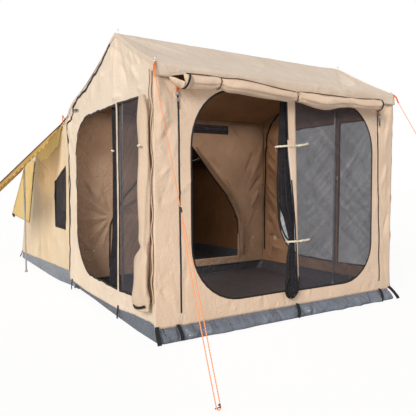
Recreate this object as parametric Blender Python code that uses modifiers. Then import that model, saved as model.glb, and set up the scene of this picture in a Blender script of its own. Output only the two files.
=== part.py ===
# Canvas wall tent with an enclosed, peaked awning room in front of the sleeping tent.
#
# Places are given as (u, v, h) in metres: u runs from the left wall to the right wall, v from the
# front wall to the back, and h is the height over the ground. place() turns them into the world,
# where the origin is on the ground under the middle of the tent and the front wall faces -Y.

import math

import bmesh
import bpy
from mathutils import Matrix, Vector

# Driving dimensions of the tent
WIDTH = 2.72                 # left wall to right wall
ROOM_DEPTH = 2.20            # front wall to the seam where the awning room is zipped on
DIVIDER_V = 2.12             # canvas wall between the awning room and the sleeping tent
EAVE_HEIGHT = 2.102
RIDGE_V = 0.74
RIDGE_HEIGHT = 2.497
KNEE_V, KNEE_HEIGHT = 1.98, 2.075
REAR_EAVE_V, REAR_EAVE_HEIGHT = 4.285, 1.535
REAR_FOOT_V = 4.85           # the rear wall leans out to here at the ground
MIDDLE_V = 2.69              # the v that becomes world Y = 0

# Fabric and tube sizes
CANVAS = 0.003               # canvas, drawn thicker than cloth so that it stays solid
MESH = 0.002                 # insect mesh
VINYL = 0.003                # coated floor fabric
GAP = 0.001                  # clearance between pieces that touch
CANVAS_FOOT = 0.095          # canvas starts this high, over the floor's upstand
TUB_HEIGHT = 0.112           # rim of the bathtub floor
TUBE_RADIUS = 0.0125
INNER_RADIUS = 0.0100        # telescopic lower tubes
TUBE_WALL = 0.0015
ROPE_RADIUS = 0.003

# Doors of the awning room, as (u, h) on the front wall and (v, h) on the side walls
FRONT_SILL = 0.243
FRONT_DOOR_TOP = 1.96
SIDE_SILL = 0.27
SIDE_DOOR_TOP = 1.887
SEAM_LAP = 0.012             # how far a door leaf laps over the edge of its opening

# Window awnings
AWNING_FRONT_V, AWNING_REAR_V = 2.43, 3.75
AWNING_REACH = 0.74          # outwards, and as much downwards
AWNING_SAG = 0.02
AWNING_POLE = (0.215, 3.495)  # how far out from the wall, and v
REAR_AWNING_TIP = (5.50, 0.64)

COLLECTION = "canvas_wall_tent"


# Scene and placing


def clear_scene():
    for obj in list(bpy.data.objects):
        bpy.data.objects.remove(obj, do_unlink=True)


def place(u, v, h):
    return Vector((u - WIDTH / 2, v - MIDDLE_V, h))


def mirrored(u):
    return WIDTH - u


def shade(colour_hex):
    """The linear colour of an sRGB hex value."""
    channels = [int(colour_hex[i : i + 2], 16) / 255 for i in (0, 2, 4)]
    return [c / 12.92 if c <= 0.04045 else ((c + 0.055) / 1.055) ** 2.4 for c in channels] + [1]


def material(name, colour_hex, roughness, metallic=0.0):
    made = bpy.data.materials.new(name)
    made.use_nodes = True
    shader = made.node_tree.nodes["Principled BSDF"]
    shader.inputs["Base Color"].default_value = shade(colour_hex)
    shader.inputs["Roughness"].default_value = roughness
    shader.inputs["Metallic"].default_value = metallic
    made.diffuse_color = shade(colour_hex)
    return made


FINISHES = {
    "roof_canvas": ("D8C8B4", 0.85, 0.0),
    "wall_canvas": ("DCC4A8", 0.85, 0.0),
    "inner_canvas": ("7D6350", 0.9, 0.0),
    "awning_canvas": ("D9BE84", 0.85, 0.0),
    "floor_vinyl": ("6E757D", 0.35, 0.0),
    "insect_mesh": ("2A2A2C", 0.9, 0.0),
    "aluminium_tube": ("B9BCC0", 0.35, 1.0),
    "black_plastic": ("1B1B1D", 0.5, 0.0),
    "orange_rope": ("E88B5A", 0.8, 0.0),
    "peg_steel": ("6B6E72", 0.4, 1.0),
}


def finish(obj, name, sharp_angle=40.0):
    """Gives a node its own material, its smooth shading and its place in the collection."""
    colour, roughness, metallic = FINISHES[name]
    obj.data.materials.append(material(f"{obj.name}_{name}", colour, roughness, metallic))
    if obj.type == "MESH":
        obj.data.shade_smooth()
        obj.data.set_sharp_from_angle(angle=math.radians(sharp_angle))
    bpy.data.collections[COLLECTION].objects.link(obj)
    return obj


# Outlines


def arc(centre, radii, start, end, steps=7):
    """Points of an ellipse's arc, from one angle to another in degrees."""
    turn = [math.radians(start + (end - start) * i / steps) for i in range(steps + 1)]
    return [(centre[0] + radii[0] * math.cos(a), centre[1] + radii[1] * math.sin(a)) for a in turn]


def mixed(a, b, share):
    return tuple(p + (q - p) * share for p, q in zip(a, b))


def sagging(start, end, sag, steps):
    """Points after start, up to end, along a line that sags in its middle."""
    points = []
    for i in range(1, steps + 1):
        t = i / steps
        p = mixed(start, end, t)
        points.append((p[0], p[1] - 4 * sag * t * (1 - t)))
    return points


def offset(line, distance):
    """A line moved to its right-hand side by distance, with mitred corners."""
    moved = []
    for i, here in enumerate(line):
        sides = []
        for a, b in zip(line[max(i - 1, 0) : i + 1], line[max(i, 1) : i + 2]):
            run = Vector((b[0] - a[0], b[1] - a[1])).normalized()
            sides.append(Vector((run.y, -run.x)))
        normal = sum(sides, Vector((0, 0))).normalized()
        reach = distance / max(0.3, normal.dot(sides[0]))
        moved.append((here[0] + normal.x * reach, here[1] + normal.y * reach))
    return moved


def room_roof_line():
    """The outside of the awning room's roof, from the front eave over the ridge to the knee."""
    eave = (-0.014, EAVE_HEIGHT)
    ridge = (RIDGE_V, RIDGE_HEIGHT)
    knee = (KNEE_V, KNEE_HEIGHT)
    line = [eave] + sagging(eave, ridge, 0.012, 3) + sagging(ridge, knee, 0.040, 5)
    return line + [(2.08, 2.035), (2.15, 1.99), (ROOM_DEPTH, 1.945)]


def tent_roof_line():
    """The outside of the sleeping tent's roof, from the knee to the rear eave."""
    start = (ROOM_DEPTH + 0.012, 1.945)
    return [start] + sagging(start, (REAR_EAVE_V, REAR_EAVE_HEIGHT), 0.020, 5)


def rear_wall_v(height):
    """How far back the outside of the rear wall is at a height."""
    share = (REAR_EAVE_HEIGHT - height) / REAR_EAVE_HEIGHT
    return REAR_EAVE_V - 0.012 + (REAR_FOOT_V - REAR_EAVE_V + 0.012) * share


# Flat cloth: an outline with its openings, extruded to its thickness


def front_plane(v):
    """Local x, y lie along u, h. Local z points to the front."""
    return Matrix.Translation(place(0, v, 0)) @ Matrix.Rotation(math.radians(90), 4, "X")


def side_plane(u):
    """Local x, y lie along v, h. Local z points to the right."""
    turn = Matrix.Rotation(math.radians(90), 4, "Z") @ Matrix.Rotation(math.radians(90), 4, "X")
    return Matrix.Translation(place(u, 0, 0)) @ turn


def flat_cloth(name, outlines, thickness, plane, finish_name):
    """A sheet from a closed outline, and the outlines of its openings, centred on a plane."""
    curve = bpy.data.curves.new(name, "CURVE")
    curve.dimensions = "2D"
    curve.fill_mode = "BOTH"
    curve.extrude = thickness / 2
    for outline in outlines:
        spline = curve.splines.new("POLY")
        spline.points.add(len(outline) - 1)
        for point, (x, y) in zip(spline.points, outline):
            point.co = (x, y, 0, 1)
        spline.use_cyclic_u = True
    obj = bpy.data.objects.new(name, curve)
    obj.matrix_world = plane
    return finish(obj, finish_name)


def front_openings():
    """The two door openings of the front wall, beside a mullion that leans and narrows."""
    left = [(1.437, FRONT_SILL + 0.002)] + arc((0.80, 0.72), (0.47, 0.477), 270, 180)
    left += arc((0.722, 1.50), (0.40, FRONT_DOOR_TOP - 1.50), 180, 90) + [(1.287, FRONT_DOOR_TOP)]
    right = [(1.458, FRONT_SILL - 0.008)] + arc((2.05, 0.60), (0.37, 0.368), 270, 360)
    right += arc((2.0, 1.50), (0.412, FRONT_DOOR_TOP - 0.01 - 1.50), 0, 90)
    right += [(1.385, FRONT_DOOR_TOP - 0.01)]
    return left, right


# Rounded corners at the rear of each side door: (v, h) centres and radii, lower then upper
DOOR_CORNERS = {
    "left": (((1.45, 0.72), (0.445, 0.45)), ((1.50, 1.50), (0.41, 0.375))),
    "right": (((1.31, 0.79), (0.475, 0.52)), ((1.40, 1.50), (0.385, 0.375))),
}


def side_openings(side, lap=0.0):
    """The front and rear halves of a side door, with the mullion between them."""
    front = [(0.205 - lap, SIDE_SILL + 0.025 - lap), (0.705 + lap, SIDE_SILL - lap)]
    front += [(0.705 + lap, SIDE_DOOR_TOP + lap), (0.205 - lap, SIDE_DOOR_TOP - 0.005 + lap)]
    (low, low_radii), (high, high_radii) = DOOR_CORNERS[side]
    rear = [(0.765 - lap, SIDE_SILL - lap)]
    rear += arc(low, (low_radii[0] + lap, low_radii[1] + lap), 270, 360)
    rear += arc(high, (high_radii[0] + lap, high_radii[1] + lap), 0, 90)
    return front, rear + [(0.765 - lap, SIDE_DOOR_TOP + lap)]


def divider_opening():
    """The sleeping tent's door: a wide A shape, whose right leg is the diagonal edge."""
    right_leg = [(1.36, 1.80), (1.56, 1.66), (1.91, 1.23), (2.09, 1.035), (2.20, 0.85), (2.27, 0.70)]
    left_leg = [(mirrored(u), h) for u, h in right_leg[1:]]
    return [(0.44, 0.20), (2.28, 0.20), (2.285, 0.5), *right_leg[::-1], *left_leg]


def build_front_wall():
    corner = CANVAS + 0.001
    outer = [(-corner, CANVAS_FOOT), (WIDTH + corner, CANVAS_FOOT)]
    outer += [(WIDTH + corner, EAVE_HEIGHT - 0.012), (-corner, EAVE_HEIGHT - 0.012)]
    flat_cloth("front_wall", [outer, *front_openings()], CANVAS, front_plane(-CANVAS / 2), "wall_canvas")


def gable_outline():
    under_roof = [p for p in offset(room_roof_line(), CANVAS + GAP) if p[0] > 0.05]
    front = [(0.002, CANVAS_FOOT), (0.002, EAVE_HEIGHT - 0.010)]
    return front + under_roof + [(ROOM_DEPTH, 1.86), (ROOM_DEPTH, CANVAS_FOOT)]


def build_gable_walls():
    for side, u in (("left", CANVAS / 2), ("right", WIDTH - CANVAS / 2)):
        outlines = [gable_outline(), *side_openings(side)]
        flat_cloth(f"{side}_gable_wall", outlines, CANVAS, side_plane(u), "wall_canvas")


def build_divider():
    edge = CANVAS + 0.003
    top = 2.003
    outer = [(edge, 0.006), (WIDTH - edge, 0.006), (WIDTH - edge, top), (edge, top)]
    vent = [(1.10, 1.835), (2.12, 1.835), (2.12, 1.951), (1.10, 1.951)]
    outlines = [outer, divider_opening(), vent]
    flat_cloth("divider_wall", outlines, CANVAS, front_plane(DIVIDER_V), "inner_canvas")
    mesh = [(1.085, 1.82), (2.135, 1.82), (2.135, 1.966), (1.085, 1.966)]
    behind = DIVIDER_V + CANVAS / 2 + GAP + MESH / 2
    flat_cloth("divider_vent_mesh", [mesh], MESH, front_plane(behind), "insect_mesh")


def window_outline(lap=0.0):
    """The side window, whose top edge climbs towards the front."""
    front, rear, sill = 2.33 - lap, 2.785 + lap, 0.673 - lap
    return [(front, sill), (rear, sill), (rear, 1.197 + lap), (front, 1.385 + lap)]


def build_tent_walls():
    front_v = ROOM_DEPTH + 0.008
    under_roof = [p for p in offset(tent_roof_line(), CANVAS + GAP) if p[0] > front_v + 0.05]
    rear_top = (rear_wall_v(1.515), 1.515)
    outer = [(front_v, CANVAS_FOOT), (front_v, 1.938), *under_roof[:-1], rear_top]
    outer += [(rear_wall_v(CANVAS_FOOT), CANVAS_FOOT)]
    for side, u, inside in (("left", CANVAS / 2, 1), ("right", WIDTH - CANVAS / 2, -1)):
        name = f"tent_{side}_wall"
        flat_cloth(name, [outer, window_outline()], CANVAS, side_plane(u), "wall_canvas")
        depth = u + inside * (CANVAS / 2 + GAP + MESH / 2)
        name = f"{side}_window_mesh"
        flat_cloth(name, [window_outline(lap=0.015)], MESH, side_plane(depth), "insect_mesh")


def rear_plane(depth):
    """The plane of the leaning rear wall: local x along u, local y up the wall."""
    foot = place(0, rear_wall_v(0.0) - depth, 0)
    up = place(0, rear_wall_v(REAR_EAVE_HEIGHT) - depth, REAR_EAVE_HEIGHT) - foot
    lean = math.atan2(-up.y, up.z)
    return Matrix.Translation(foot) @ Matrix.Rotation(math.radians(90) + lean, 4, "X"), up.length


def build_rear_wall():
    plane, slope = rear_plane(CANVAS)
    edge = CANVAS + 0.003
    low, high = CANVAS_FOOT * slope / REAR_EAVE_HEIGHT, slope - 0.030
    outer = [(edge, low), (WIDTH - edge, low), (WIDTH - edge, high), (edge, high)]
    window = [(0.56, 0.78), (WIDTH - 0.56, 0.78), (WIDTH - 0.56, 1.36), (0.56, 1.36)]
    flat_cloth("tent_rear_wall", [outer, window], CANVAS, plane, "wall_canvas")
    inner_plane, _ = rear_plane(2 * CANVAS + GAP)
    lap = 0.015
    mesh = [(0.56 - lap, 0.78 - lap), (WIDTH - 0.56 + lap, 0.78 - lap)]
    mesh += [(WIDTH - 0.56 + lap, 1.36 + lap), (0.56 - lap, 1.36 + lap)]
    flat_cloth("rear_window_mesh", [mesh], MESH, inner_plane, "insect_mesh")


# Roofs: the section of each roof, extruded across the tent


def build_roofs():
    middle = side_plane(WIDTH / 2)
    line = room_roof_line()
    valance = [(-0.018, 2.006), *line]
    section = valance + offset(valance, CANVAS)[::-1]
    flat_cloth("awning_roof", [section], WIDTH + 0.014, middle, "roof_canvas")
    rear_hem = (REAR_EAVE_V + 0.006, REAR_EAVE_HEIGHT - 0.035)
    line = tent_roof_line() + [rear_hem]
    section = line + offset(line, CANVAS)[::-1]
    flat_cloth("tent_roof", [section], WIDTH + 0.014, middle, "roof_canvas")


# Bathtub floors: rings up a bulging profile, thickened inwards


def rounded_rectangle(low, high, radius, steps=3):
    corners = [((high[0] - radius, low[1] + radius), 270), ((high[0] - radius, high[1] - radius), 0)]
    corners += [((low[0] + radius, high[1] - radius), 90), ((low[0] + radius, low[1] + radius), 180)]
    points = []
    for centre, start in corners:
        points += arc(centre, (radius, radius), start, start + 90, steps)
    return points


def mesh_object(name, bm, finish_name, sharp_angle=40.0):
    mesh = bpy.data.meshes.new(name)
    bm.normal_update()
    bm.to_mesh(mesh)
    bm.free()
    return finish(bpy.data.objects.new(name, mesh), finish_name, sharp_angle)


def thicken(obj, thickness, side=-1.0):
    solid = obj.modifiers.new("thickness", "SOLIDIFY")
    solid.thickness = thickness
    solid.offset = side
    solid.use_even_offset = True
    return obj


def loft(bm, rings, closed_ring=True):
    """Quads between rings of points, each ring with as many points as the next."""
    rows = [[bm.verts.new(p) for p in ring] for ring in rings]
    for low, high in zip(rows, rows[1:]):
        count = len(low)
        for i in range(count if closed_ring else count - 1):
            j = (i + 1) % count
            bm.faces.new((low[i], low[j], high[j], high[i]))
    return rows


def tub_floor(name, front_v, rear_v, front_bulge, rear_bulge, rear_inset=0.006):
    """A floor whose upstand bulges out under the canvas where it has room to."""
    # Each step is how far the upstand stands out of the wall plane, as a share of its bulge,
    # and its height.
    steps = [(0.90, 0.0), (1.0, 0.018), (0.78, 0.048), (0.32, 0.080)]
    rings = []
    for share, height in steps:
        low = (0.002, front_v - share * front_bulge)
        high = (WIDTH - 0.002, rear_v + share * rear_bulge)
        rings.append([place(u, v, height) for u, v in rounded_rectangle(low, high, 0.05)])
    for height in (CANVAS_FOOT - 0.002, TUB_HEIGHT):
        low, high = (0.007, front_v + 0.006), (WIDTH - 0.007, rear_v - rear_inset)
        rings.append([place(u, v, height) for u, v in rounded_rectangle(low, high, 0.05)])
    bm = bmesh.new()
    rows = loft(bm, rings)
    bm.faces.new(rows[0][::-1])
    return thicken(mesh_object(name, bm, "floor_vinyl"), VINYL)


def build_floors():
    tub_floor("room_floor", 0.0, DIVIDER_V - 0.006, 0.085, 0.0)
    tub_floor("tent_floor", DIVIDER_V + 0.012, rear_wall_v(CANVAS_FOOT), 0.0, 0.035, 0.018)


# Gathered cloth: a loft along a path, with its radius fluted by folds


def gathered(name, stations, finish_name, reference, folds=5, depth=0.12, twist=1.5, sides=18):
    """Rolled or bunched cloth. A station is ((u, v, h), half width, half thickness)."""
    centres = [place(*station[0]) for station in stations]
    rings = []
    for i, (_, wide, thick) in enumerate(stations):
        along = centres[min(i + 1, len(centres) - 1)] - centres[max(i - 1, 0)]
        across = Vector(reference) - along.normalized() * along.normalized().dot(Vector(reference))
        across.normalize()
        third = along.normalized().cross(across)
        ring = []
        for k in range(sides):
            angle = 2 * math.pi * k / sides
            fold = 1 + depth * math.cos(folds * angle + twist * i / len(stations) * 2 * math.pi)
            side = math.cos(angle) * wide * fold
            up = math.sin(angle) * thick * fold
            ring.append(centres[i] + across * side + third * up)
        rings.append(ring)
    bm = bmesh.new()
    rows = loft(bm, rings)
    bm.faces.new(rows[0][::-1])
    bm.faces.new(rows[-1])
    return mesh_object(name, bm, finish_name, sharp_angle=50.0)


def between(stations, steps=3):
    """The same stations with more of them in between, on a smooth curve."""
    fine = []
    last = len(stations) - 1
    for i in range(last):
        near = [stations[max(i - 1, 0)], stations[i], stations[i + 1], stations[min(i + 2, last)]]
        flat = [[*s[0], s[1], s[2]] for s in near]
        for k in range(steps):
            t = k / steps
            row = []
            for a, b, c, d in zip(*flat):
                bend = (-a + 3 * b - 3 * c + d) * t**3 + (2 * a - 5 * b + 4 * c - d) * t * t
                row.append(0.5 * (bend + (c - a) * t + 2 * b))
            fine.append((tuple(row[:3]), row[3], row[4]))
    return fine + [stations[-1]]


def build_door_rolls():
    """The canvas doors: two rolled up over the front openings, one rolled against a corner."""
    out = -0.082
    left = [((0.175, out, 2.010), 0.012, 0.012), ((0.225, out, 1.996), 0.042, 0.042)]
    left += [((0.30, out, 1.998), 0.050, 0.054), ((0.44, out, 1.993), 0.046, 0.050)]
    left += [((0.58, out, 1.993), 0.052, 0.052), ((0.75, out, 1.981), 0.055, 0.057)]
    left += [((1.04, out, 1.960), 0.052, 0.052), ((1.20, out, 1.953), 0.046, 0.046)]
    left += [((1.31, out, 1.953), 0.040, 0.040)]
    gathered("front_left_door_roll", between(left), "wall_canvas", (0, 1, 0), 3, 0.07, 2.0, 16)
    right = [((1.345, out, 1.953), 0.040, 0.040), ((1.42, out, 1.948), 0.046, 0.050)]
    right += [((1.55, out, 1.938), 0.055, 0.062), ((1.69, out, 1.934), 0.058, 0.065)]
    right += [((1.86, out, 1.951), 0.050, 0.050), ((2.00, out, 1.958), 0.042, 0.042)]
    right += [((2.17, out, 1.956), 0.050, 0.050), ((2.34, out, 1.962), 0.053, 0.053)]
    right += [((2.465, out, 1.965), 0.052, 0.052)]
    gathered("front_right_door_roll", between(right), "wall_canvas", (0, 1, 0), 3, 0.07, 2.0, 16)
    side = [((-0.050, 0.090, 1.870), 0.030, 0.028), ((-0.050, 0.070, 1.690), 0.052, 0.038)]
    side += [((-0.050, 0.066, 1.490), 0.058, 0.040), ((-0.050, 0.066, 1.235), 0.062, 0.042)]
    side += [((-0.050, 0.072, 0.930), 0.062, 0.042), ((-0.050, 0.076, 0.790), 0.056, 0.040)]
    side += [((-0.045, 0.078, 0.715), 0.044, 0.034), ((-0.050, 0.108, 0.600), 0.090, 0.042)]
    side += [((-0.052, 0.136, 0.430), 0.118, 0.044), ((-0.052, 0.140, 0.310), 0.124, 0.044)]
    side += [((-0.050, 0.136, 0.230), 0.112, 0.040)]
    gathered("left_door_roll", between(side), "wall_canvas", (0, 1, 0), 6, 0.06, 0.4, 20)
    rear_roll_v = 1.86
    far = [((WIDTH + 0.050, rear_roll_v, 1.840), 0.030, 0.026)]
    far += [((WIDTH + 0.050, rear_roll_v + 0.010, h), 0.052, 0.038) for h in (1.690, 1.490, 1.235, 0.930)]
    far += [((WIDTH + 0.045, rear_roll_v, 0.715), 0.044, 0.034)]
    far += [((WIDTH + 0.052, rear_roll_v + 0.020, h), 0.074, 0.042) for h in (0.560, 0.400)]
    far += [((WIDTH + 0.050, rear_roll_v + 0.016, 0.270), 0.066, 0.038)]
    gathered("right_door_roll", between(far), "wall_canvas", (0, 1, 0), 6, 0.06, 0.4, 20)


def build_mesh_bundles():
    """The mesh doors that are open: bunched and tied to their mullions."""
    front = [((1.278, 0.050, 1.935), 0.030, 0.026), ((1.270, 0.050, 1.785), 0.042, 0.030)]
    front += [((1.276, 0.052, 1.545), 0.054, 0.034), ((1.312, 0.054, 1.325), 0.062, 0.036)]
    front += [((1.340, 0.054, 1.055), 0.072, 0.038), ((1.366, 0.052, 0.830), 0.052, 0.034)]
    front += [((1.384, 0.048, 0.665), 0.034, 0.026), ((1.376, 0.050, 0.485), 0.056, 0.036)]
    front += [((1.370, 0.050, 0.330), 0.064, 0.038), ((1.380, 0.050, 0.215), 0.052, 0.034)]
    front += [((1.390, 0.050, 0.160), 0.034, 0.026)]
    gathered("front_left_mesh_bundle", between(front), "insect_mesh", (1, 0, 0), 5, 0.14, 0.8, 20)
    side = [((0.045, 0.905, 1.885), 0.036, 0.026), ((0.045, 0.905, 1.690), 0.036, 0.026)]
    side += [((0.045, 0.902, 1.500), 0.036, 0.026), ((0.045, 0.882, 1.236), 0.056, 0.030)]
    side += [((0.045, 0.886, 0.870), 0.062, 0.032), ((0.045, 0.905, 0.640), 0.072, 0.034)]
    side += [((0.045, 0.945, 0.450), 0.104, 0.036), ((0.045, 0.955, 0.300), 0.110, 0.036)]
    side += [((0.045, 0.950, 0.245), 0.086, 0.030)]
    gathered("left_rear_mesh_bundle", between(side), "insect_mesh", (0, 1, 0), 5, 0.12, 0.6, 20)


def build_divider_flaps():
    """The sleeping tent's door: its left leaf zipped shut, its right leaf tied back."""
    behind = DIVIDER_V + CANVAS / 2 + GAP + CANVAS / 2
    leaf = [(0.425, 0.185), (1.14, 0.185), (1.14, 1.780), (0.81, 1.47), (0.62, 1.23), (0.425, 0.95)]
    flat_cloth("divider_left_flap", [leaf], CANVAS, front_plane(behind), "inner_canvas")
    forward = DIVIDER_V - 0.040
    tied = [((1.60, forward, 1.655), 0.010, 0.010), ((1.70, forward, 1.520), 0.026, 0.020)]
    tied += [((1.93, forward, 1.255), 0.034, 0.024), ((2.12, forward, 1.040), 0.036, 0.024)]
    tied += [((2.25, forward, 0.830), 0.036, 0.024), ((2.315, forward, 0.600), 0.034, 0.022)]
    tied += [((2.325, forward, 0.400), 0.030, 0.020), ((2.325, forward, 0.230), 0.018, 0.014)]
    gathered("divider_right_flap", between(tied), "inner_canvas", (1, 0, 0), 4, 0.12, 1.0, 14)


# Door leaves that are zipped shut at rest


def build_door_leaves():
    _, opening = front_openings()
    hinge_top, hinge_foot = (1.387, FRONT_DOOR_TOP - 0.010), (1.460, FRONT_SILL - 0.008)
    lapped = arc((2.05, 0.60), (0.37 + SEAM_LAP, 0.368 + SEAM_LAP), 270, 360)
    lapped += arc((2.0, 1.50), (0.412 + SEAM_LAP, FRONT_DOOR_TOP - 1.51 + SEAM_LAP), 0, 90)
    leaf = [(hinge_foot[0], FRONT_SILL - 0.008 - SEAM_LAP), *lapped]
    leaf += [(hinge_top[0], FRONT_DOOR_TOP - 0.010 + SEAM_LAP)]
    flat_cloth("front_right_mesh_door", [leaf], MESH, front_plane(0.004), "insect_mesh")

    inside = CANVAS + GAP + MESH
    front_leaf, _ = side_openings("left", SEAM_LAP)
    flat_cloth("left_front_mesh_door", [front_leaf], MESH, side_plane(inside), "insect_mesh")
    front_leaf, rear_leaf = side_openings("right", SEAM_LAP)
    for name, leaf in (("right_front_mesh_door", front_leaf), ("right_rear_mesh_door", rear_leaf)):
        flat_cloth(name, [leaf], MESH, side_plane(WIDTH - inside), "insect_mesh")


# Window awnings


def roof_edge_height(v):
    """The height of the sleeping tent's roof edge, where the window awnings are sewn on."""
    line = tent_roof_line()
    for a, b in zip(line, line[1:]):
        if v <= b[0]:
            return a[1] + (b[1] - a[1]) * (v - a[0]) / (b[0] - a[0])
    return line[-1][1]


def awning_hinge():
    """The two ends of a side awning's hinge line, as (v, h)."""
    drop = 0.012
    front = (AWNING_FRONT_V, roof_edge_height(AWNING_FRONT_V) - drop)
    rear = (AWNING_REAR_V, roof_edge_height(AWNING_REAR_V) - drop)
    return front, rear


def awning_height(out, v):
    """The height of a side awning's top face, out from the wall at v."""
    front, rear = awning_hinge()
    along = (v - front[0]) / (rear[0] - front[0])
    outwards = (out - 0.012) / (AWNING_REACH - 0.012)
    sag = 16 * AWNING_SAG * along * (1 - along) * outwards * (1 - outwards)
    return front[1] + (rear[1] - front[1]) * along - (out - 0.012) - sag


def cloth_panel(name, corner, thickness, finish_name, columns=6, rows=5, sag=AWNING_SAG):
    """A stretched panel between four corners, given in order, that sags in its middle."""
    a, b, c, d = [place(*p) for p in corner]
    bm = bmesh.new()
    grid = []
    for j in range(rows + 1):
        t = j / rows
        line = []
        for i in range(columns + 1):
            s = i / columns
            point = (a * (1 - s) + b * s) * (1 - t) + (d * (1 - s) + c * s) * t
            point.z -= 16 * sag * s * (1 - s) * t * (1 - t)
            line.append(point)
        grid.append(line)
    loft(bm, grid, closed_ring=False)
    return thicken(mesh_object(name, bm, finish_name), thickness, side=0.0)


def build_side_awnings():
    front, rear = awning_hinge()
    for side in ("left", "right"):
        corner = [(-0.012, *front), (-0.012, *rear)]
        corner += [(-AWNING_REACH, v, h - AWNING_REACH + 0.012) for v, h in (rear, front)]
        if side == "right":
            corner = [(mirrored(u), v, h) for u, v, h in corner]
        cloth_panel(f"{side}_window_awning", corner, CANVAS, "awning_canvas")


def build_rear_awning():
    hinge = (REAR_EAVE_V + 0.016, REAR_EAVE_HEIGHT - 0.020)
    corner = [(-0.022, *hinge), (WIDTH + 0.022, *hinge)]
    corner += [(WIDTH + 0.022, *REAR_AWNING_TIP), (-0.022, *REAR_AWNING_TIP)]
    cloth_panel("rear_window_awning", corner, CANVAS, "awning_canvas", columns=8, sag=0.03)
    gusset = [(3.80, 1.50), (4.27, 1.47), (5.44, 0.640), (4.22, 0.60)]
    for side, u in (("left", -0.012), ("right", WIDTH + 0.012)):
        name = f"rear_awning_{side}_gusset"
        flat_cloth(name, [gusset], CANVAS, side_plane(u), "awning_canvas")


# Frame of aluminium tubes


def turned(name, profile, at, finish_name, sides=14):
    """A closed profile of (radius, height), outer side first and downwards, turned about a post."""
    bm = bmesh.new()
    verts = [bm.verts.new((r, 0, h)) for r, h in profile]
    for a, b in zip(verts, verts[1:] + verts[:1]):
        bm.edges.new((a, b))
    obj = mesh_object(name, bm, finish_name)
    obj.location = at
    screw = obj.modifiers.new("turn", "SCREW")
    screw.steps = screw.render_steps = sides
    screw.use_merge_vertices = True
    screw.merge_threshold = 0.00001
    return obj


def outer_post(name, u, v, low, high):
    inner = TUBE_RADIUS - TUBE_WALL
    profile = [(TUBE_RADIUS, high), (TUBE_RADIUS, low), (inner, low), (inner, high)]
    return turned(name, profile, place(u, v, 0), "aluminium_tube")


def inner_post(name, u, v, low, high):
    """A telescopic lower tube with the rubber foot that it stands on."""
    inner = INNER_RADIUS - TUBE_WALL
    foot = INNER_RADIUS + 0.008
    profile = [(INNER_RADIUS, high), (INNER_RADIUS, low + 0.030), (foot, low + 0.022), (foot, low)]
    profile += [(inner, low), (inner, high)]
    return turned(name, profile, place(u, v, 0), "aluminium_tube")


def rod(name, route, radius, finish_name, filled=True):
    """A round bar or rope along a route of (u, v, h) points."""
    curve = bpy.data.curves.new(name, "CURVE")
    curve.dimensions = "3D"
    curve.bevel_depth = radius
    curve.bevel_resolution = 2
    curve.use_fill_caps = filled
    spline = curve.splines.new("POLY")
    spline.points.add(len(route) - 1)
    for point, at in zip(spline.points, route):
        point.co = (*place(*at), 1)
    return finish(bpy.data.objects.new(name, curve), finish_name)


def bent_tube(name, route):
    """A hollow tube along a route: an open bevelled curve with its wall added inside."""
    return thicken(rod(name, route, TUBE_RADIUS, "aluminium_tube", filled=False), TUBE_WALL)


def rounded_route(corners, radius, steps=4):
    """A route through corners, each rounded by a curve that starts radius before it."""
    route = [corners[0]]
    for before, corner, after in zip(corners, corners[1:], corners[2:]):
        p, q, r = Vector(before), Vector(corner), Vector(after)
        start = q + (p - q).normalized() * radius
        end = q + (r - q).normalized() * radius
        for i in range(steps + 1):
            t = i / steps
            route.append(tuple(start * (1 - t) ** 2 + q * 2 * t * (1 - t) + end * t * t))
    return route + [corners[-1]]


POST_U = 0.045               # frame tubes stand this far inside the side walls
LEG_V = 0.045
KNEE_LEG_V = 2.175
EAVE_TUBE_HEIGHT = EAVE_HEIGHT - 0.026
RIDGE_TUBE_HEIGHT = RIDGE_HEIGHT - 0.030
KNEE_TUBE_HEIGHT = 1.905
FLOOR_TOP = VINYL + 0.001


def build_rafters():
    """One bent tube down each side of the sleeping tent, from the knee to the rear foot."""
    rear_top = (REAR_EAVE_V - 0.045, REAR_EAVE_HEIGHT - 0.050)
    rear_foot = (rear_wall_v(0.02) - 0.045, 0.020)
    for side in ("left", "right"):
        u = POST_U if side == "left" else mirrored(POST_U)
        corners = [(u, KNEE_LEG_V + 0.035, 1.890), (u, *rear_top), (u, *rear_foot)]
        bent_tube(f"{side}_tent_rafter", rounded_route(corners, 0.10))


def build_cross_tubes():
    between_rafters = POST_U + TUBE_RADIUS + GAP
    over_legs = POST_U - 0.025
    for name, start, v, h in (
        ("eave_tube", over_legs, LEG_V, EAVE_TUBE_HEIGHT),
        ("ridge_tube", over_legs, RIDGE_V, RIDGE_TUBE_HEIGHT),
        ("knee_tube", over_legs, KNEE_LEG_V, KNEE_TUBE_HEIGHT),
        ("rear_tube", between_rafters, REAR_EAVE_V - 0.068, REAR_EAVE_HEIGHT - 0.052),
    ):
        bent_tube(name, [(start, v, h), (mirrored(start), v, h)])


def build_legs():
    """Telescopic legs at the front corners and under the ridge, and plain ones at the knee."""
    under_tube = TUBE_RADIUS + GAP
    for side in ("left", "right"):
        u = POST_U if side == "left" else mirrored(POST_U)
        outer_post(f"{side}_front_leg", u, LEG_V, 1.02, EAVE_TUBE_HEIGHT - under_tube)
        inner_post(f"{side}_front_foot", u, LEG_V, FLOOR_TOP, 1.12)
        outer_post(f"{side}_ridge_leg", u, RIDGE_V, 1.12, RIDGE_TUBE_HEIGHT - under_tube)
        inner_post(f"{side}_ridge_foot", u, RIDGE_V, FLOOR_TOP, 1.22)
        outer_post(f"{side}_knee_leg", u, KNEE_LEG_V, FLOOR_TOP, KNEE_TUBE_HEIGHT - under_tube)


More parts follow.
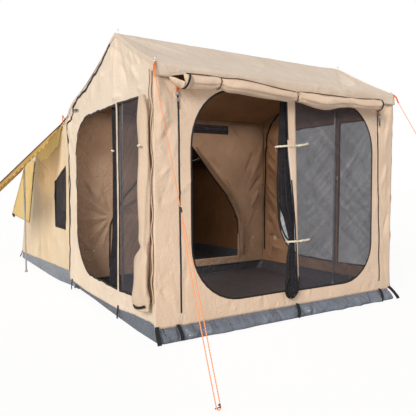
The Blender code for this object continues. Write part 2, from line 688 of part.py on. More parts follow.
def build_awning_poles():
    """The props of the side awnings. A pin on top goes through the awning's eyelet."""
    out, v = AWNING_POLE
    pin_top = awning_height(out, v) - 0.012
    joint, pin, bore = 0.80, 0.003, TUBE_RADIUS - TUBE_WALL
    for side in ("left", "right"):
        u = -out if side == "left" else mirrored(-out)
        upper = [(pin, pin_top), (pin, pin_top - 0.070), (TUBE_RADIUS, pin_top - 0.075)]
        upper += [(TUBE_RADIUS, joint), (bore, joint), (bore, pin_top - 0.078), (0.0006, pin_top - 0.078)]
        upper += [(0.0006, pin_top)]
        turned(f"{side}_awning_pole_top", upper, place(u, v, 0), "aluminium_tube")
        inner_post(f"{side}_awning_pole_foot", u, v, 0.001, joint + 0.10)


# Guy ropes with their pegs, and the zip sliders


ROPE_TOP = Vector((-0.020, -0.050, EAVE_HEIGHT - 0.065))
PEG_FOOT = Vector((-0.215, -1.211, 0.020))    # the lowest point of the rope's loop
ROPE_LOOP = 0.0125                            # radius of that loop
RUNNER_SHARE = 0.49                           # how far down the rope its runner sits


def guy_route(side):
    """The rope's route: from the eave corner through the runner, round the peg and back."""
    top, peg, turn = ROPE_TOP, PEG_FOOT, ROPE_LOOP
    run = (peg - top).normalized()
    aside = run.cross(Vector((0, 0, 1))).normalized()
    centre = peg - run * turn
    route = [top + (peg - top) * t for t in (0.0, 0.15, 0.30, RUNNER_SHARE)]
    length = (peg - top).length
    for t in (0.60, 0.72, 0.85):
        route.append(top + run * length * t - aside * turn * min(1, (t - RUNNER_SHARE) * 6) * 0.9)
    for i in range(9):
        angle = math.radians(-90 + 180 * i / 8)
        route.append(centre + run * turn * math.cos(angle) + aside * turn * math.sin(angle))
    for t in (0.85, 0.72, 0.60, RUNNER_SHARE + 0.035):
        spread = turn * min(1, (t - RUNNER_SHARE) * 6) * 0.9 + 0.0035
        route.append(top + run * length * t + aside * spread)
    if side == "right":
        route = [Vector((mirrored(p.x), p.y, p.z)) for p in route]
    return [tuple(p) for p in route], top, run, length


def build_guy_ropes():
    for side in ("left", "right"):
        route, top, run, length = guy_route(side)
        rod(f"{side}_guy_rope", route, ROPE_RADIUS, "orange_rope")
        runner = turned(
            f"{side}_guy_runner",
            [(0.0080, 0.018), (0.0100, 0.0), (0.0080, -0.018), (0.0042, -0.018), (0.0042, 0.018)],
            Vector((0, 0, 0)),
            "black_plastic",
            sides=12,
        )
        middle, slope = top + run * length * RUNNER_SHARE, run.copy()
        if side == "right":
            middle.x, slope.x = mirrored(middle.x), -slope.x
        turn = slope.to_track_quat("Z", "Y").to_matrix().to_4x4()
        runner.matrix_world = Matrix.Translation(place(*middle)) @ turn

        # The peg's shank stands square to the rope, through the middle of the rope's loop.
        loop = PEG_FOOT - run * ROPE_LOOP
        shank = Vector((run.x, run.y, 0)).normalized() * -run.z + Vector((0, 0, run.xy.length))
        ground = loop - shank * ((loop.z - 0.006) / shank.z)
        head = loop + shank * 0.022
        hook = [head + Vector((0, 0, 0.010)), head + Vector((0, 0, 0.018)) - shank * 0.012]
        route = [ground, head, *hook, hook[1] - shank * 0.010 - Vector((0, 0, 0.004))]
        if side == "right":
            route = [Vector((mirrored(p.x), p.y, p.z)) for p in route]
        rod(f"{side}_guy_peg", [tuple(p) for p in route], 0.0035, "peg_steel")


ZIP_TOP, ZIP_FOOT = 1.86, 0.20
ZIP_TOP_U, ZIP_FOOT_U = 0.203, 0.226


def build_zip_sliders():
    """The sliders of the front wall's two long zips, each with its pull tab."""
    for side in ("left", "right"):
        u = ZIP_TOP_U if side == "left" else mirrored(ZIP_TOP_U)
        body = [(u - 0.008, ZIP_TOP), (u - 0.006, ZIP_TOP - 0.028), (u - 0.010, ZIP_TOP - 0.034)]
        body += [(u - 0.008, ZIP_TOP - 0.072), (u + 0.008, ZIP_TOP - 0.072)]
        body += [(u + 0.010, ZIP_TOP - 0.034), (u + 0.006, ZIP_TOP - 0.028), (u + 0.008, ZIP_TOP)]
        plane = front_plane(-CANVAS - GAP - 0.004)
        flat_cloth(f"{side}_zip_slider", [body], 0.008, plane, "black_plastic")


def main():
    clear_scene()
    bpy.context.scene.collection.children.link(bpy.data.collections.new(COLLECTION))
    build_floors()
    build_front_wall()
    build_gable_walls()
    build_divider()
    build_tent_walls()
    build_rear_wall()
    build_roofs()
    build_door_rolls()
    build_mesh_bundles()
    build_divider_flaps()
    build_door_leaves()
    build_side_awnings()
    build_rear_awning()
    build_rafters()
    build_cross_tubes()
    build_legs()
    build_awning_poles()
    build_guy_ropes()
    build_zip_sliders()


main()
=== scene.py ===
# %% [markdown]
# # A canvas cabin tent with an awning room
#
# This lesson dresses the plain CAD model of a tent as the real one. Such a tent is a cage of
# aluminium tubes with canvas stretched over it, a bathtub floor of coated cloth, insect mesh and
# zips in its doors, and window awnings held up by props and guy ropes. Cloth tells the eye what it
# is by its creases, seams and hems, so most of the cells make these, and the tubes stay as the CAD
# model has them.
#
# Places are written as (u, v, h) in metres: u runs from the left wall to the right wall, v from
# the front wall to the back, and h is the height over the ground.

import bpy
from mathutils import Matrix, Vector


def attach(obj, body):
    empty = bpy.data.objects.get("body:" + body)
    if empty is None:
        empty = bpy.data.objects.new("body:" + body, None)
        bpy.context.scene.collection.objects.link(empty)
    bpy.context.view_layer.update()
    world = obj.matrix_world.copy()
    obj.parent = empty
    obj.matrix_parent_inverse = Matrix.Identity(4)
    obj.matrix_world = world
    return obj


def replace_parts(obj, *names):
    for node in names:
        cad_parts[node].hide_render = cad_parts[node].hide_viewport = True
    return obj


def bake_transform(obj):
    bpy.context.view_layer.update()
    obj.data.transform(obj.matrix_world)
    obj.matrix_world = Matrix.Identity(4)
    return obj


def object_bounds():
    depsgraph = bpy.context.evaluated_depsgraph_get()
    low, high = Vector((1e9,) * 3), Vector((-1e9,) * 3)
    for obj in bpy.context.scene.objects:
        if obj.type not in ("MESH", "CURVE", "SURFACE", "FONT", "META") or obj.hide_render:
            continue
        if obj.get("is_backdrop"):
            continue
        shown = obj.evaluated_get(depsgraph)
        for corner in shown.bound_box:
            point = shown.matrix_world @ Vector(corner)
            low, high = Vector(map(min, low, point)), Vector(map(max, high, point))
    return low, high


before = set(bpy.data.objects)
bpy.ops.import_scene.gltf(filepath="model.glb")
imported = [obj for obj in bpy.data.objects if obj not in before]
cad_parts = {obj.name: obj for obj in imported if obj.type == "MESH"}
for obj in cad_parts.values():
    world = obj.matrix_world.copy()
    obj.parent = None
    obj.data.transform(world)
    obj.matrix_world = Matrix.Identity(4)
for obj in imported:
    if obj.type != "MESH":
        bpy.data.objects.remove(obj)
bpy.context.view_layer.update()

# %% Main sizes, and where u, v, h are in the world
import math

import bmesh
import bpy
import numpy as np
from mathutils import Vector
from mathutils.geometry import delaunay_2d_cdt
from mathutils.kdtree import KDTree

WIDTH = 2.72
ROOM_DEPTH = 2.2
DIVIDER_V = 2.12
MIDDLE_V = 2.69
EAVE_HEIGHT = 2.102
REAR_EAVE_V, REAR_EAVE_HEIGHT = 4.285, 1.535
CANVAS_FOOT = 0.095
CLOTH, THIN_CLOTH, NET_CLOTH = 0.0018, 0.0012, 0.001


def spot(u, v, h):
    """World points from u, v and h, which may be numbers or arrays."""
    u, v, h = np.broadcast_arrays(*(np.asarray(x, float) for x in (u, v, h)))
    return np.stack([u - WIDTH / 2, v - MIDDLE_V, h], axis=-1)


print("front left eave corner in the world:", spot(0, 0, EAVE_HEIGHT).round(3))

# %% Helpers: new objects


def put(name, data, place=(0, 0, 0), turn=(0, 0, 0)):
    """Adds an object to the scene, at a place and turned by degrees."""
    obj = bpy.data.objects.new(name, data)
    obj.location = place
    obj.rotation_euler = [math.radians(a) for a in turn]
    bpy.context.scene.collection.objects.link(obj)
    return obj


def mesh_object(name, points, faces, materials):
    """Adds an object made of points and faces, with smooth shading."""
    mesh = bpy.data.meshes.new(name)
    mesh.from_pydata(np.reshape(points, (-1, 3)).tolist(), [], faces)
    for made in materials:
        mesh.materials.append(made)
    mesh.shade_smooth()
    return put(name, mesh)


# %% [markdown]
# ## The camera
#
# The photograph was taken from the left of the front, a little above waist height and almost
# level. Its lens and place were worked out from the straight edges of the tent, so that the CAD
# model lies on the picture. The lens is written as pixels and turned into millimetres.

# %% The camera at the photograph's angle
PICTURE = 416
FOCAL_PIXELS = 490.3
CAMERA_PLACE = (-2.9676, -6.0153, 1.2417)
CAMERA_PITCH, CAMERA_HEADING = -3.346, -32.05

camera_data = bpy.data.cameras.new("camera")
camera_data.sensor_width = 36.0
camera_data.lens = camera_data.sensor_width * FOCAL_PIXELS / PICTURE
turn = (90 + CAMERA_PITCH, 0.0, CAMERA_HEADING)
bpy.context.scene.camera = put("camera", camera_data, CAMERA_PLACE, turn)
print("lens", round(camera_data.lens, 2), "mm")

# %% [markdown]
# ## Light and floor
#
# The light is that of a bright but hazy morning: a low soft sun from the left of the front, which
# also reaches under the rolled doors, and a sky that fills the shadows. Daylight also comes
# through the canvas, and soft lamps under the roofs and the left awning stand for it. A low, wide
# reflector in front lights what faces down. Rays that come straight from the camera, from gloss or
# through glass see white, so that the background is white without more light on the tent. The
# floor is white cloth-like paper that keeps the tent's shadow.

# %% Helpers: colours and nodes


def shade(colour_hex):
    """The linear colour of an sRGB hex value."""
    channels = [int(colour_hex[i : i + 2], 16) / 255 for i in (0, 2, 4)]
    return [c / 12.92 if c <= 0.04045 else ((c + 0.055) / 1.055) ** 2.4 for c in channels] + [1]


def feed(tree, node, links):
    """Gives a node's inputs a value each, or the output of another node."""
    for name, value in links.items():
        if isinstance(value, bpy.types.NodeSocket):
            tree.links.new(value, node.inputs[name])
        else:
            node.inputs[name].default_value = value


def add(tree, kind, links=None, **settings):
    """Adds a node with its settings and what feeds it."""
    node = tree.nodes.new("ShaderNode" + kind)
    for name, value in settings.items():
        setattr(node, name, value)
    feed(tree, node, links or {})
    return node


def calculate(tree, operation, *values):
    """One step of arithmetic in a node tree."""
    return add(tree, "Math", dict(enumerate(values)), operation=operation).outputs[0]


# %% The world: a white background and a softer sky
SKY_LEVEL = 0.42

world = bpy.data.worlds.new("hazy_sky")
bpy.context.scene.world = world
world.use_nodes = True
tree = world.node_tree
tree.nodes.clear()
ray = add(tree, "LightPath").outputs
seen = calculate(tree, "MAXIMUM", ray["Is Camera Ray"], ray["Is Glossy Ray"])
seen = calculate(tree, "MAXIMUM", seen, ray["Is Transmission Ray"])
sky = add(tree, "Background", {"Color": shade("F4F6FA"), "Strength": SKY_LEVEL}).outputs[0]
white = add(tree, "Background", {"Color": (1, 1, 1, 1), "Strength": 1.0}).outputs[0]
both = add(tree, "MixShader", {0: seen, 1: sky, 2: white}).outputs[0]
add(tree, "OutputWorld", {"Surface": both})
bpy.context.scene.view_settings.view_transform = "Standard"
print("sky level", SKY_LEVEL)

# %% The sun and the lamps
SUN_LEVEL = 2.5
SUN_SPREAD = 26
SUN_TURN = (65, 0, -57)

sun_data = bpy.data.lights.new("hazy_sun", "SUN")
sun_data.energy = SUN_LEVEL
sun_data.angle = math.radians(SUN_SPREAD)
sun_data.color = shade("FFF6EA")[:3]
put("hazy_sun", sun_data, turn=SUN_TURN)

for name, place, turn, size, level in (
    ("daylight_through_room_roof", (0.0, -1.62, 1.97), (0, 0, 0), (2.4, 1.7), 17.0),
    ("daylight_through_tent_roof", (0.0, 0.45, 1.45), (0, 0, 0), (2.3, 1.6), 5.0),
    ("daylight_through_left_awning", (-1.66, 0.3, 1.24), (0, -60, 0), (0.3, 0.9), 0.75),
    ("low_reflector", (-1.6, -6.2, 0.25), (108, 0, -20), (3.0, 0.5), 18.0),
):
    lamp_data = bpy.data.lights.new(name, "AREA")
    lamp_data.shape = "RECTANGLE"
    lamp_data.size, lamp_data.size_y = size
    lamp_data.energy = level
    lamp_data.color = shade("FFE9D2")[:3]
    put(name, lamp_data, place, turn).visible_camera = False
print("sun level", SUN_LEVEL)

# %% The floor
FLOOR_REACH = 60
FLOOR_HEIGHT = -0.001
CAMERA_GLOW = 0.8
PAPER_GLOW = 1.12

floor_paper = bpy.data.materials.new("white_floor_paper")
floor_paper.use_nodes = True
tree = floor_paper.node_tree
shader = tree.nodes["Principled BSDF"]
feed(tree, shader, {"Base Color": shade("CBCBCA"), "Roughness": 0.9})
share = calculate(tree, "MULTIPLY", add(tree, "LightPath").outputs["Is Camera Ray"], CAMERA_GLOW)
glow = add(tree, "Emission", {"Color": (1, 1, 1, 1), "Strength": PAPER_GLOW}).outputs[0]
both = add(tree, "MixShader", {0: share, 1: shader.outputs[0], 2: glow}).outputs[0]
feed(tree, tree.nodes["Material Output"], {"Surface": both})

corners = [(x * FLOOR_REACH, y * FLOOR_REACH, FLOOR_HEIGHT) for x, y in ((-1, -1), (1, -1), (1, 1), (-1, 1))]
mesh_object("floor", corners, [(0, 1, 2, 3)], [floor_paper])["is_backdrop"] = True

# %% [markdown]
# ## Materials
#
# A tent has few materials, and each is woven, coated, moulded or drawn. Every material below
# starts from a Principled shader with typical values for what it really is, and gets its colour
# variation and its bump from noise and waves whose scale is worked out from a size in millimetres.
# The pieces all lie at the origin of the world, so the Object coordinate of every one is in metres.

# %% Helpers: a material, and the patterns it is made of


def start_material(name, colour_hex, roughness, **more):
    """A material, its node tree, its shader and its coordinates."""
    made = bpy.data.materials.new(name)
    made.use_nodes = True
    made.diffuse_color = shade(colour_hex)
    tree = made.node_tree
    shader = tree.nodes["Principled BSDF"]
    feed(tree, shader, {"Base Color": shade(colour_hex), "Roughness": roughness, **more})
    return made, tree, shader, add(tree, "TexCoord").outputs


def noise(tree, at, scale, detail, **more):
    """Cloudy noise, whose scale is how often it changes in a metre."""
    return add(tree, "TexNoise", {"Vector": at, "Scale": scale, "Detail": detail, **more}).outputs


def cells(tree, at, size_mm, feature="DISTANCE_TO_EDGE", **more):
    """How far a place is from its cell's edge, or from the cell's middle with the feature F1."""
    links = {"Vector": at, "Scale": 1000 / size_mm, **more}
    return add(tree, "TexVoronoi", links, feature=feature).outputs["Distance"]


def bands(tree, at, size_mm, way):
    """Parallel ribs."""
    links = {"Vector": at, "Scale": 1000 / size_mm / 10}
    return add(tree, "TexWave", links, wave_type="BANDS", bands_direction=way).outputs["Fac"]


def remap(tree, value, to=(0.0, 1.0), start=(0.0, 1.0), **settings):
    """A value carried over from the start range to another one."""
    links = {"Value": value, "From Min": start[0], "From Max": start[1], "To Min": to[0], "To Max": to[1]}
    return add(tree, "MapRange", links, **settings).outputs["Result"]


def tinted(tree, share, first, second):
    """A colour between two."""
    return add(tree, "Mix", {0: share, 6: first, 7: second}, data_type="RGBA").outputs[2]


def bump(tree, height, strength, distance, **under):
    """The surface's slope where a pattern stands out of it. Normal may give the slope under it."""
    links = {"Height": height, "Strength": strength, "Distance": distance, **under}
    return add(tree, "Bump", links).outputs["Normal"]


def stretched(tree, at, lean, size, vector_type="TEXTURE"):
    """Coordinates leaned by degrees round x and y, and stretched to a size."""
    turn = (math.radians(lean[0]), math.radians(lean[1]), 0.0)
    links = {"Vector": at, "Rotation": turn, "Scale": size}
    return add(tree, "Mapping", links, vector_type=vector_type).outputs["Vector"]


def fine_creases(tree, metres, lean, size_mm):
    """Thin grooves that run mostly up and down: the level lines of a noise stretched upwards."""
    wide, long = (mm / 1000 for mm in size_mm)
    placed = stretched(tree, metres, (lean, -lean), (wide, wide, long))
    level = calculate(tree, "SUBTRACT", noise(tree, placed, 1.0, 2.0)["Fac"], 0.5)
    return remap(tree, calculate(tree, "ABSOLUTE", level), start=(0.0, 0.07))


# %% [markdown]
# Tent canvas is cotton and polyester, plain woven and proofed. It is quite matt, with a faint
# sheen from loose fibres. Its threads are about 0.8 mm apart; they are drawn at 5 mm, because
# finer ones would be lost in the render. Where it was packed it keeps soft crumples the size of a
# hand and long fine creases, and the proofing dries a little unevenly, which mottles the colour.
# Seen from the inside it is the same cloth in its own shadow, and the light that comes through it
# is warm, so the inner face is a browner material. The awnings' cloth is thinner and yellow. The
# side awnings' cloth is painted paler and given a painted glow, for the sun shining through it.

# %% Material: proofed cotton canvas
THREAD_MM = 0.8
DRAWN_THREAD_MM = 5.0
CRUMPLE_MM = 160.0
MOTTLE_MM = 420.0
FOLD_MM = 330.0
CREASE_MM = (60.0, 700.0)
CRUMPLE_DEPTH, CREASE_DEPTH, THREAD_DEPTH = 0.02, 0.006, 0.0006


def proofed_canvas(name, colour_hex, dark_hex, crumple=0.22, creased=0.16):
    """Woven canvas between two tones, with its threads, crumples and mottling."""
    made, tree, shader, at = start_material(name, colour_hex, 0.86)
    metres = at["Object"]
    mottle = noise(tree, metres, 1000 / MOTTLE_MM, 4.0, Roughness=0.6)["Fac"]
    tone = remap(tree, mottle, start=(0.3, 0.7))
    soft = noise(tree, metres, 1000 / CRUMPLE_MM, 3.0, Roughness=0.55, Distortion=0.6)
    bent = add(tree, "VectorMath", {0: metres, 1: soft["Color"]}, operation="ADD").outputs[0]
    edge = remap(tree, cells(tree, bent, FOLD_MM), start=(0.0, 0.12), interpolation_type="SMOOTHSTEP")
    normal = bump(tree, calculate(tree, "MULTIPLY_ADD", edge, 0.35, soft["Fac"]), crumple, CRUMPLE_DEPTH)
    normal = bump(tree, fine_creases(tree, metres, 14, CREASE_MM), creased, CREASE_DEPTH, Normal=normal)
    weave = [bands(tree, metres, DRAWN_THREAD_MM, way) for way in ("Z", "DIAGONAL")]
    links = {"Sheen Weight": 0.08, "Sheen Roughness": 0.5, "Specular IOR Level": 0.25}
    links["Base Color"] = tinted(tree, tone, shade(colour_hex), shade(dark_hex))
    links["Normal"] = bump(tree, calculate(tree, "ADD", *weave), 0.12, THREAD_DEPTH, Normal=normal)
    feed(tree, shader, links)
    return made


wall_canvas = proofed_canvas("wall_canvas_outside", "EBD4BF", "DFC7B0")
roof_canvas = proofed_canvas("roof_canvas_outside", "E7D8C9", "DBCBBA")
gable_canvas = proofed_canvas("gable_canvas_outside", "EFE0CF", "E3D3BF")
tent_canvas = proofed_canvas("tent_canvas_outside", "EBDAC0", "E0CBAC")
door_canvas = proofed_canvas("door_canvas_outside", "DCC8B4", "CFB9A2")
wall_inside = proofed_canvas("wall_canvas_inside", "B08E72", "9C7A5F", crumple=0.4)
roof_inside = proofed_canvas("roof_canvas_inside", "A87E56", "946A45", crumple=0.5)
awning_hem = proofed_canvas("awning_hem_canvas", "DFBE80", "CFAC69", crumple=0.1, creased=0.05)
# Painted shade: the divider's cloth is browner, for the shade and the warm light inside the tent.
inner_tent = proofed_canvas("inner_tent_canvas", "BDA28D", "A88D78", crumple=0.5)
sleeping_inside = proofed_canvas("sleeping_tent_inside", "7A5636", "664527", crumple=0.5)
awning_canvas = proofed_canvas("awning_canvas", "ECD193", "E0C17D", crumple=0.3)
# Painted light: the side awnings' cloth is paler than the rear one's and has a painted glow, for the sun that
# shines through it into its shade.
awning_underside = proofed_canvas("awning_canvas_underside", "E8DAAC", "DCCB98", crumple=0.3)
glowing = awning_underside.node_tree.nodes["Principled BSDF"]
glowing.inputs["Emission Color"].default_value = shade("D8BC80")
glowing.inputs["Emission Strength"].default_value = 0.16
print("threads", THREAD_MM, "mm apart, drawn at", DRAWN_THREAD_MM, "mm")

# %% [markdown]
# Insect mesh is a knitted polyester net of dark grey yarn. A camera can't see its holes, which are
# about 1.2 mm wide, only that it dims what is behind it. In the photograph one layer lets a third
# of the light through, and the yarn itself shows as grey. So the material is see-through by an
# alpha that is lower in drawn holes of 6 mm than on the yarn between them. A sheet has two faces,
# so the alpha of each is what two of them together need. Where a zip pulls the net into a crease,
# more yarn lies in the way, so long slanting streaks of it are a little denser.

# %% Material: knitted insect mesh
HOLE_MM = 1.2
DRAWN_HOLE_MM = 6.0


def knitted_mesh(name, colour_hex, yarn_alpha, hole_alpha, streaks=0.055):
    made, tree, shader, at = start_material(name, colour_hex, 0.8)
    gap = cells(tree, at["Object"], DRAWN_HOLE_MM, Randomness=0.25)
    yarn = remap(tree, gap, (yarn_alpha, hole_alpha), (0.05, 0.3))
    pulled = noise(tree, stretched(tree, at["Object"], (-35, 40), (0.8, 0.8, 0.035)), 1.0, 3.0)["Fac"]
    denser = remap(tree, pulled, (-streaks / 2, streaks), (0.42, 0.66))
    links = {"Specular IOR Level": 0.2, "Alpha": calculate(tree, "ADD", yarn, denser)}
    feed(tree, shader, {**links, "Normal": bump(tree, gap, 0.2, 0.001)})
    return made


insect_mesh = knitted_mesh("insect_mesh_grey", "4C4C55", 0.46, 0.27)
# The gathered net's yarn is painted darker, for the shade trapped between its many layers. Its higher alpha is
# the real density of the yarn.
gathered_net = knitted_mesh("insect_mesh_gathered", "333238", 0.85, 0.62, streaks=0.15)
print("mesh holes", HOLE_MM, "mm, drawn at", DRAWN_HOLE_MM, "mm")

# %% [markdown]
# The floor is polyester cloth coated with PVC, which is welded into a tub. The coating makes it
# almost as glossy as a wet road, so every wrinkle of the upstand catches the sky. It has a fine
# leather-like emboss about 1.5 mm wide, drawn at 8 mm. Its inner face is darker, and the sleeping
# tent's tub is a lighter copy of the same cloth than the room's.

# %% Material: coated floor cloth
DRAWN_EMBOSS_MM = 8.0
TUB_CREASE_MM = (45.0, 160.0)


def coated_cloth(name, colour_hex, dark_hex, roughness):
    made, tree, shader, at = start_material(name, colour_hex, roughness, IOR=1.53)
    dust = noise(tree, at["Object"], 7.0, 5.0)["Fac"]
    folded = bump(tree, fine_creases(tree, at["Object"], 40, TUB_CREASE_MM), 0.6, 0.005)
    emboss = cells(tree, at["Object"], DRAWN_EMBOSS_MM, "F1")
    links = {"Base Color": tinted(tree, dust, shade(colour_hex), shade(dark_hex))}
    links["Roughness"] = remap(tree, dust, (roughness * 0.7, roughness * 1.4))
    links["Normal"] = bump(tree, emboss, 0.1, 0.001, Normal=folded)
    feed(tree, shader, links)
    return made


floor_outside = coated_cloth("floor_pvc_outside", "747D8D", "616A79", 0.18)
floor_lighter = coated_cloth("floor_pvc_lighter", "8F9CAC", "7C8898", 0.21)
floor_inside = coated_cloth("floor_pvc_inside", "4A4A52", "3E3E46", 0.5)

# %% [markdown]
# Zips are nylon: a woven tape with a moulded coil of teeth. Webbing is a thicker woven tape, black
# at the pegs and orange at the guy ropes. Both are made of fine yarn, so they look matt, while the
# coil and the sliders have the dull gloss of moulded plastic. The tape's ribs are about 1.6 mm
# apart, and drawn at 5 mm.

# %% Materials: tapes, webbing and moulded plastic
DRAWN_TWILL_MM = 5.0
RIB_SHADE = 0.72


def woven_tape(name, colour_hex, roughness=0.8):
    """Narrow woven tape. Its UV map is in metres: along the tape, and across it."""
    made, tree, shader, at = start_material(name, colour_hex, roughness)
    ribs = bands(tree, at["UV"], DRAWN_TWILL_MM, "DIAGONAL")
    dark = [c * RIB_SHADE for c in shade(colour_hex)[:3]] + [1]
    links = {"Specular IOR Level": 0.3, "Base Color": tinted(tree, ribs, shade(colour_hex), dark)}
    feed(tree, shader, {**links, "Normal": bump(tree, ribs, 0.4, 0.0008)})
    return made


def grained(name, colour_hex, roughness, grain_at, spread, depth, **more):
    """A rigid material whose grain changes its gloss within a spread, and stands out by a depth."""
    made, tree, shader, at = start_material(name, colour_hex, roughness, **more)
    grain = grain_at(tree, at["Object"])["Fac"]
    gloss = remap(tree, grain, [roughness * share for share in spread])
    feed(tree, shader, {"Roughness": gloss, "Normal": bump(tree, grain, *depth)})
    return made


def moulded_plastic(name, colour_hex, roughness):
    """Injection-moulded plastic with a fine spark-eroded grain."""

    def eroded(tree, at):
        return noise(tree, at, 900.0, 2.0)

    return grained(name, colour_hex, roughness, eroded, (0.85, 1.2), (0.15, 0.0003))


zip_tape = woven_tape("zip_tape_black", "1E1E20")
zip_coil = moulded_plastic("zip_coil_nylon", "101011", 0.42)
black_webbing = woven_tape("webbing_black", "232325")
orange_webbing = woven_tape("webbing_orange", "EC7A3C")
cream_tape = woven_tape("tie_tape_cream", "EFE4CF")
black_moulding = moulded_plastic("black_moulding", "1B1B1D", 0.45)
cream_moulding = moulded_plastic("cream_moulding", "EFE6D4", 0.4)
grey_moulding = moulded_plastic("grey_moulding", "8C8F93", 0.4)
# Brown tape binds the side awnings' edges and ties the left roll. The same tape is also laid as painted shadow
# lines, in the gaps over the rolled doors and beside the corner flanges.
brown_binding_and_shadow_line = woven_tape("brown_binding_and_painted_shadow", "6E503C")

# %% [markdown]
# The frame is of drawn and anodised aluminium tube. Drawing leaves fine lines along the tube, and
# anodising turns the mirror of the metal into a satin one. The pegs are bent from steel bar that
# was blackened, so they are a dark and duller metal.

# %% Materials: aluminium, steel and rope
DRAW_LINE_MM = 1.0
BRAID_MM = 4.0


def drawn_metal(name, colour_hex, roughness, line_mm):
    """Metal tube or bar with lines from drawing along it."""

    def lines(tree, at):
        along = stretched(tree, at, (0, 0), (1.0, 1.0, 0.02), "POINT")
        return noise(tree, along, 1000 / line_mm, 2.0)

    return grained(name, colour_hex, roughness, lines, (0.8, 1.25), (0.05, 0.0002), Metallic=1.0)


def braided_rope(name, colour_hex, fleck_hex):
    """Braided polypropylene. Its UV map is in metres along the rope, and in turns round it."""
    made, tree, shader, at = start_material(name, colour_hex, 0.7)
    links = {"Vector": at["UV"], "Color1": shade(colour_hex), "Color2": shade(fleck_hex)}
    braid = add(tree, "TexChecker", {**links, "Scale": 1000 / BRAID_MM / 2}).outputs
    feed(tree, shader, {"Base Color": braid["Color"], "Normal": bump(tree, braid["Fac"], 0.3, 0.0006)})
    return made


aluminium = drawn_metal("anodised_aluminium", "C3C6CA", 0.34, DRAW_LINE_MM)
peg_steel = drawn_metal("blackened_steel", "4A4B4E", 0.42, 2.0)
orange_rope = braided_rope("guy_rope_braid", "FFB27E", "F08A52")
print("materials", len(bpy.data.materials))

# %% [markdown]
# The tubes, legs, props, pegs and runners are rigid, and the CAD model has their true shape, so
# they stay and only get their metal or plastic.

# %% Frame tubes keep their CAD shape
FINISHES = {"_guy_peg": peg_steel, "_guy_runner": black_moulding}
FINISHES |= dict.fromkeys(("_tube", "_leg", "_foot", "_rafter", "_pole_top"), aluminium)

kept = [(name, ending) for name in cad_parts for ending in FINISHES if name.endswith(ending)]
for name, ending in kept:
    materials = bpy.data.objects[name].data.materials
    materials.clear()
    materials.append(FINISHES[ending])
print("CAD pieces that are kept:", len(kept))

# %% [markdown]
# ## Guy ropes
#
# A guy rope runs from the eave corner down to a peg in the ground, round the peg, and back up to
# its runner, which grips it. So it is one rope of 3.46 m, doubled in its lower half, and taut. A
# mesh tube is made along its route rather than a bevelled curve, because the tube's own UV map
# can carry the braid.

# %% Helpers: rings of points joined into a mesh, and smooth lines


def loft(name, rings, materials, closed=False, caps=False, uv=None, faces_of=None):
    """Joins rings of points, an array of ring, point and x, y, z, into a smooth mesh."""
    rings = np.asarray(rings, float)
    count, around = rings.shape[:2]
    faces, corners, slots = [], [], []
    for i in range(count - 1):
        for k in range(around if closed else around - 1):
            j = (k + 1) % around
            faces.append((i * around + k, i * around + j, (i + 1) * around + j, (i + 1) * around + k))
            corners.append(((i, k), (i, k + 1), (i + 1, k + 1), (i + 1, k)))
            slots.append(faces_of[k] if faces_of else 0)
    if caps:
        faces.append(tuple(range(around))[::-1])
        faces.append(tuple((count - 1) * around + k for k in range(around)))
        corners += [None, None]
        slots += [0, 0]
    obj = mesh_object(name, rings, faces, materials)
    mesh = obj.data
    mesh.polygons.foreach_set("material_index", slots)
    if uv is not None:
        layer = mesh.uv_layers.new(name="metres")
        for polygon, places in zip(mesh.polygons, corners):
            for loop, place in zip(polygon.loop_indices, places or [(0, 0)] * len(polygon.vertices)):
                layer.data[loop].uv = (uv[0][place[0]], uv[1][place[1]])
    if caps:
        body = bmesh.new()
        body.from_mesh(mesh)
        bmesh.ops.recalc_face_normals(body, faces=body.faces)
        body.to_mesh(mesh)
        body.free()
    if caps or faces_of:
        mesh.set_sharp_from_angle(angle=math.radians(40))
    return obj


def curve_through(padded, pieces_of):
    """A smooth curve through all rows but the first and the last, which only say how it starts."""
    line = []
    for a, b, c, d in zip(padded, padded[1:], padded[2:], padded[3:]):
        pieces = pieces_of(b, c)
        for t in np.arange(pieces) / pieces:
            bend = (-a + 3 * b - 3 * c + d) * t**3 + (2 * a - 5 * b + 4 * c - d) * t * t
            line.append(0.5 * (bend + (c - a) * t + 2 * b))
    return np.array(line + [padded[-2]])


def smooth_line(points, step):
    """A smooth curve through points, with a point about every step."""
    points = np.asarray(points, float)
    padded = np.concatenate([2 * points[:1] - points[1:2], points, 2 * points[-1:] - points[-2:-1]])
    return curve_through(padded, lambda b, c: max(1, int(np.ceil(np.linalg.norm(c - b) / step))))


def arc_length(line):
    """How far along a line each of its points is."""
    steps = np.linalg.norm(np.diff(line, axis=0), axis=1)
    return np.concatenate([[0], np.cumsum(steps)])


def ways(line):
    """The unit vector along a line at each of its points."""
    way = np.gradient(line, axis=0)
    return way / np.linalg.norm(way, axis=1, keepdims=True)


def strand_rings(line, radius, sides, lobes, lobe_depth, lay=0.03):
    """Rings round a line, with strands that wind round it once in every lay of its length."""
    up = np.array([0.0, 0.0, 1.0])
    turn = np.linspace(0, 2 * math.pi, sides, endpoint=False)
    rings = []
    for centre, ahead, far in zip(line, ways(line), arc_length(line)):
        up = up - ahead * up.dot(ahead)
        up /= np.linalg.norm(up)
        third = np.cross(ahead, up)
        wide = radius * (1 + lobe_depth * np.cos(lobes * turn + 2 * math.pi * far / lay))
        rings.append(centre + np.outer(np.cos(turn) * wide, up) + np.outer(np.sin(turn) * wide, third))
    return np.array(rings)


def fit(piece, body):
    """Lets a piece ride on a body."""
    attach(piece, body)
    return piece


def mirrored(side, points):
    """The same points for the left side, or mirrored for the right one."""
    return [(u if side == "left" else WIDTH - u, v, h) for u, v, h in points]


# %% The guy ropes' route
ROPE_TOP = np.array([-0.02, -0.05, EAVE_HEIGHT - 0.065])
PEG_FOOT = np.array([-0.215, -1.211, 0.02])
ROPE_WAY = (PEG_FOOT - ROPE_TOP) / np.linalg.norm(PEG_FOOT - ROPE_TOP)
ROPE_LOOP = 0.0125
RUNNER_SHARE = 0.49
ROPE_RADIUS = 0.003
ROPE_SIDES = 12


